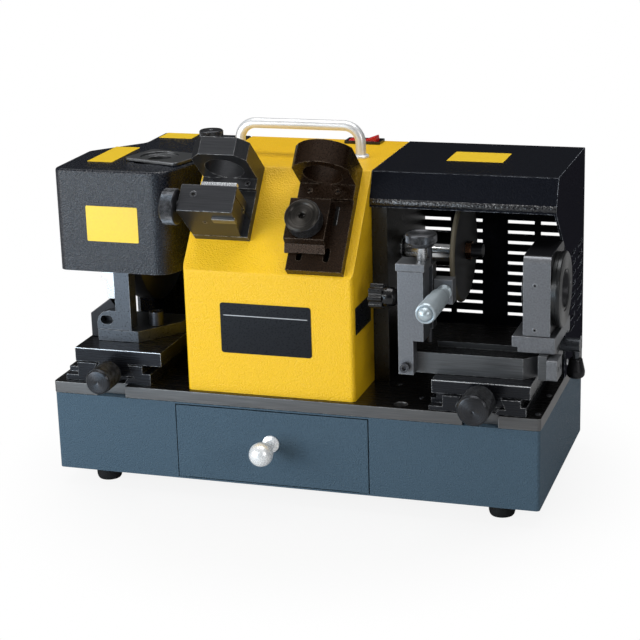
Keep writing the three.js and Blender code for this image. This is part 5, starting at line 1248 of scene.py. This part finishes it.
# Thin bright strips along the tables' front top edges, as painted highlights.
for node, low, high in (("left_table", (-201.3, 7.6, 29.7), (-119.1, 8.6, 30.42)),
                        ("right_table", (126.5, 5.6, 24.9), (210.4, 6.6, 25.62))):
    block(node + "_edge", low, high, FINISH["bright_steel"], node, None, 0.1)
block("micrometer_clamp", (117.6, 36, 95.5), (122.2, 44, 104), FINISH["cast_grey"], "micrometer_holder",
      None, 0.5)
print("fixture fittings placed")

# %% [markdown]
# The name plate, the small side plate and the yellow labels are bare here: thin rounded plates, with one
# raised line on the name plate. Each lies on the sheet that it is stuck on.

# %% Bare plates and labels
FACING = {
    "front": Matrix(((1, 0, 0, 0), (0, 0, -1, 0), (0, 1, 0, 0), (0, 0, 0, 1))),
    "right": across_machine,
    "up": Matrix.Identity(4),
}


def plate(name, facing, level, low, high, corner, thickness, material):
    """A thin rounded plate on a face: low and high are its corners in the face's own two directions."""
    corners = box_plan(low[0], high[0], low[1], high[1])
    plan = rounded_plan([(x, y, corner) for x, y in corners], 6)
    place = Matrix.Translation(DATUM) @ FACING[facing]
    sheet = new_piece(name, prism_mesh(name, plan, level, level + thickness, place), material)
    finish_edges(sheet, thickness * 0.35, 1)
    return add_on(sheet, "frame")


HOUSING_FRONT = -5.0
HOUSING_SIDE = 59.38
LEFT_COVER_FRONT = -27.42
COVER_TOP = 188.18
plate("name_plate", "front", HOUSING_FRONT - 0.02, (-60, 37), (22, 82), 2.5, 0.6, PLATE_DARK)
plate("name_plate_line", "front", HOUSING_FRONT + 0.5, (-57, 70.6), (19, 71.3), 0.3, 0.16, LINE_LIGHT)
plate("side_plate", "right", HOUSING_SIDE, (11, 58), (57, 82), 1.5, 0.5, PLATE_DARK)
for name, facing, level, low, high, corner in (
    ("left_cover_front_label", "front", LEFT_COVER_FRONT, (-191, 124), (-142, 156), 1.2),
    ("left_cover_top_label", "up", COVER_TOP, (-202, 60), (-178, 125), 0.8),
    ("left_cover_rear_label", "up", COVER_TOP, (-179, 172), (-146, 195), 0.8),
    ("right_cover_top_label", "up", COVER_TOP, (113, 119), (163, 157), 0.8),
):
    plate(name, facing, level, low, high, corner, 0.35, LABEL_YELLOW)
print("bare plates placed")

# %% [markdown]
# Cap screws hold the blocks together. The tree made earlier puts one on each point of a list, so a joint is
# only a list of places and the way that its screws face.

# %% Screws and plugs
BACK = 198
LOW_ROW, HIGH_ROW = 12, 176
for name, body, slot, places, facing, *sizes in (
    ("bearing_housing_plugs", "carriage", "cast_grey", [(209, 30.1, 105.5), (209, 30.1, 67)], FORWARD,
     2.2, 0.5, 0.5, 0.1),
    ("left_ledge_screws", "frame", "dark_steel", [on_slope(-79, 79, 12.2), on_slope(-45, 79, 12.2)],
     out_of_slope, 2.6, 1.0),
    ("right_ledge_screws", "frame", "black_oxide", [on_slope(12, 75, 12.2), on_slope(37, 75, 12.2)],
     out_of_slope, 2.6, 1.0),
    ("stop_block_screw", "right_slide", "dark_steel", [(230.2, 24, 36), (230.2, 34, 36)], RIGHTWARD,
     2.4, 0.8),
    ("end_plate_screws", "right_slide", "dark_steel", [(220.8, 56, 36), (220.8, 74, 36)], RIGHTWARD,
     2.6, 0.8),
    ("deck_screws", "frame", "dark_steel", [(112, 30, 0.1), (216, 12, 0.1), (216, 60, 0.1), (84, 60, 0.1)],
     UPWARD, 2.6, 0.5),
    ("rear_cover_screws", "frame", "bright_steel",
     [(x, BACK, z) for z in (LOW_ROW, HIGH_ROW) for x in (-86, 52)], BACKWARD, 2.8, 0.9),
    ("right_cover_rear_screws", "frame", "bright_steel",
     [(x, BACK, z) for z in (LOW_ROW, HIGH_ROW) for x in (68, 214)], BACKWARD, 2.8, 0.9),
    ("right_cover_side_screws", "frame", "bright_steel", [(221, 118, LOW_ROW), (221, 188, LOW_ROW)],
     RIGHTWARD, 2.8, 0.9),
    ("left_cover_rear_screws", "frame", "bright_steel", [(-175, BACK, LOW_ROW), (-101, BACK, LOW_ROW)],
     BACKWARD, 2.8, 0.9),
):
    screws(name, body, slot, places, facing, *sizes)
print("screws placed")
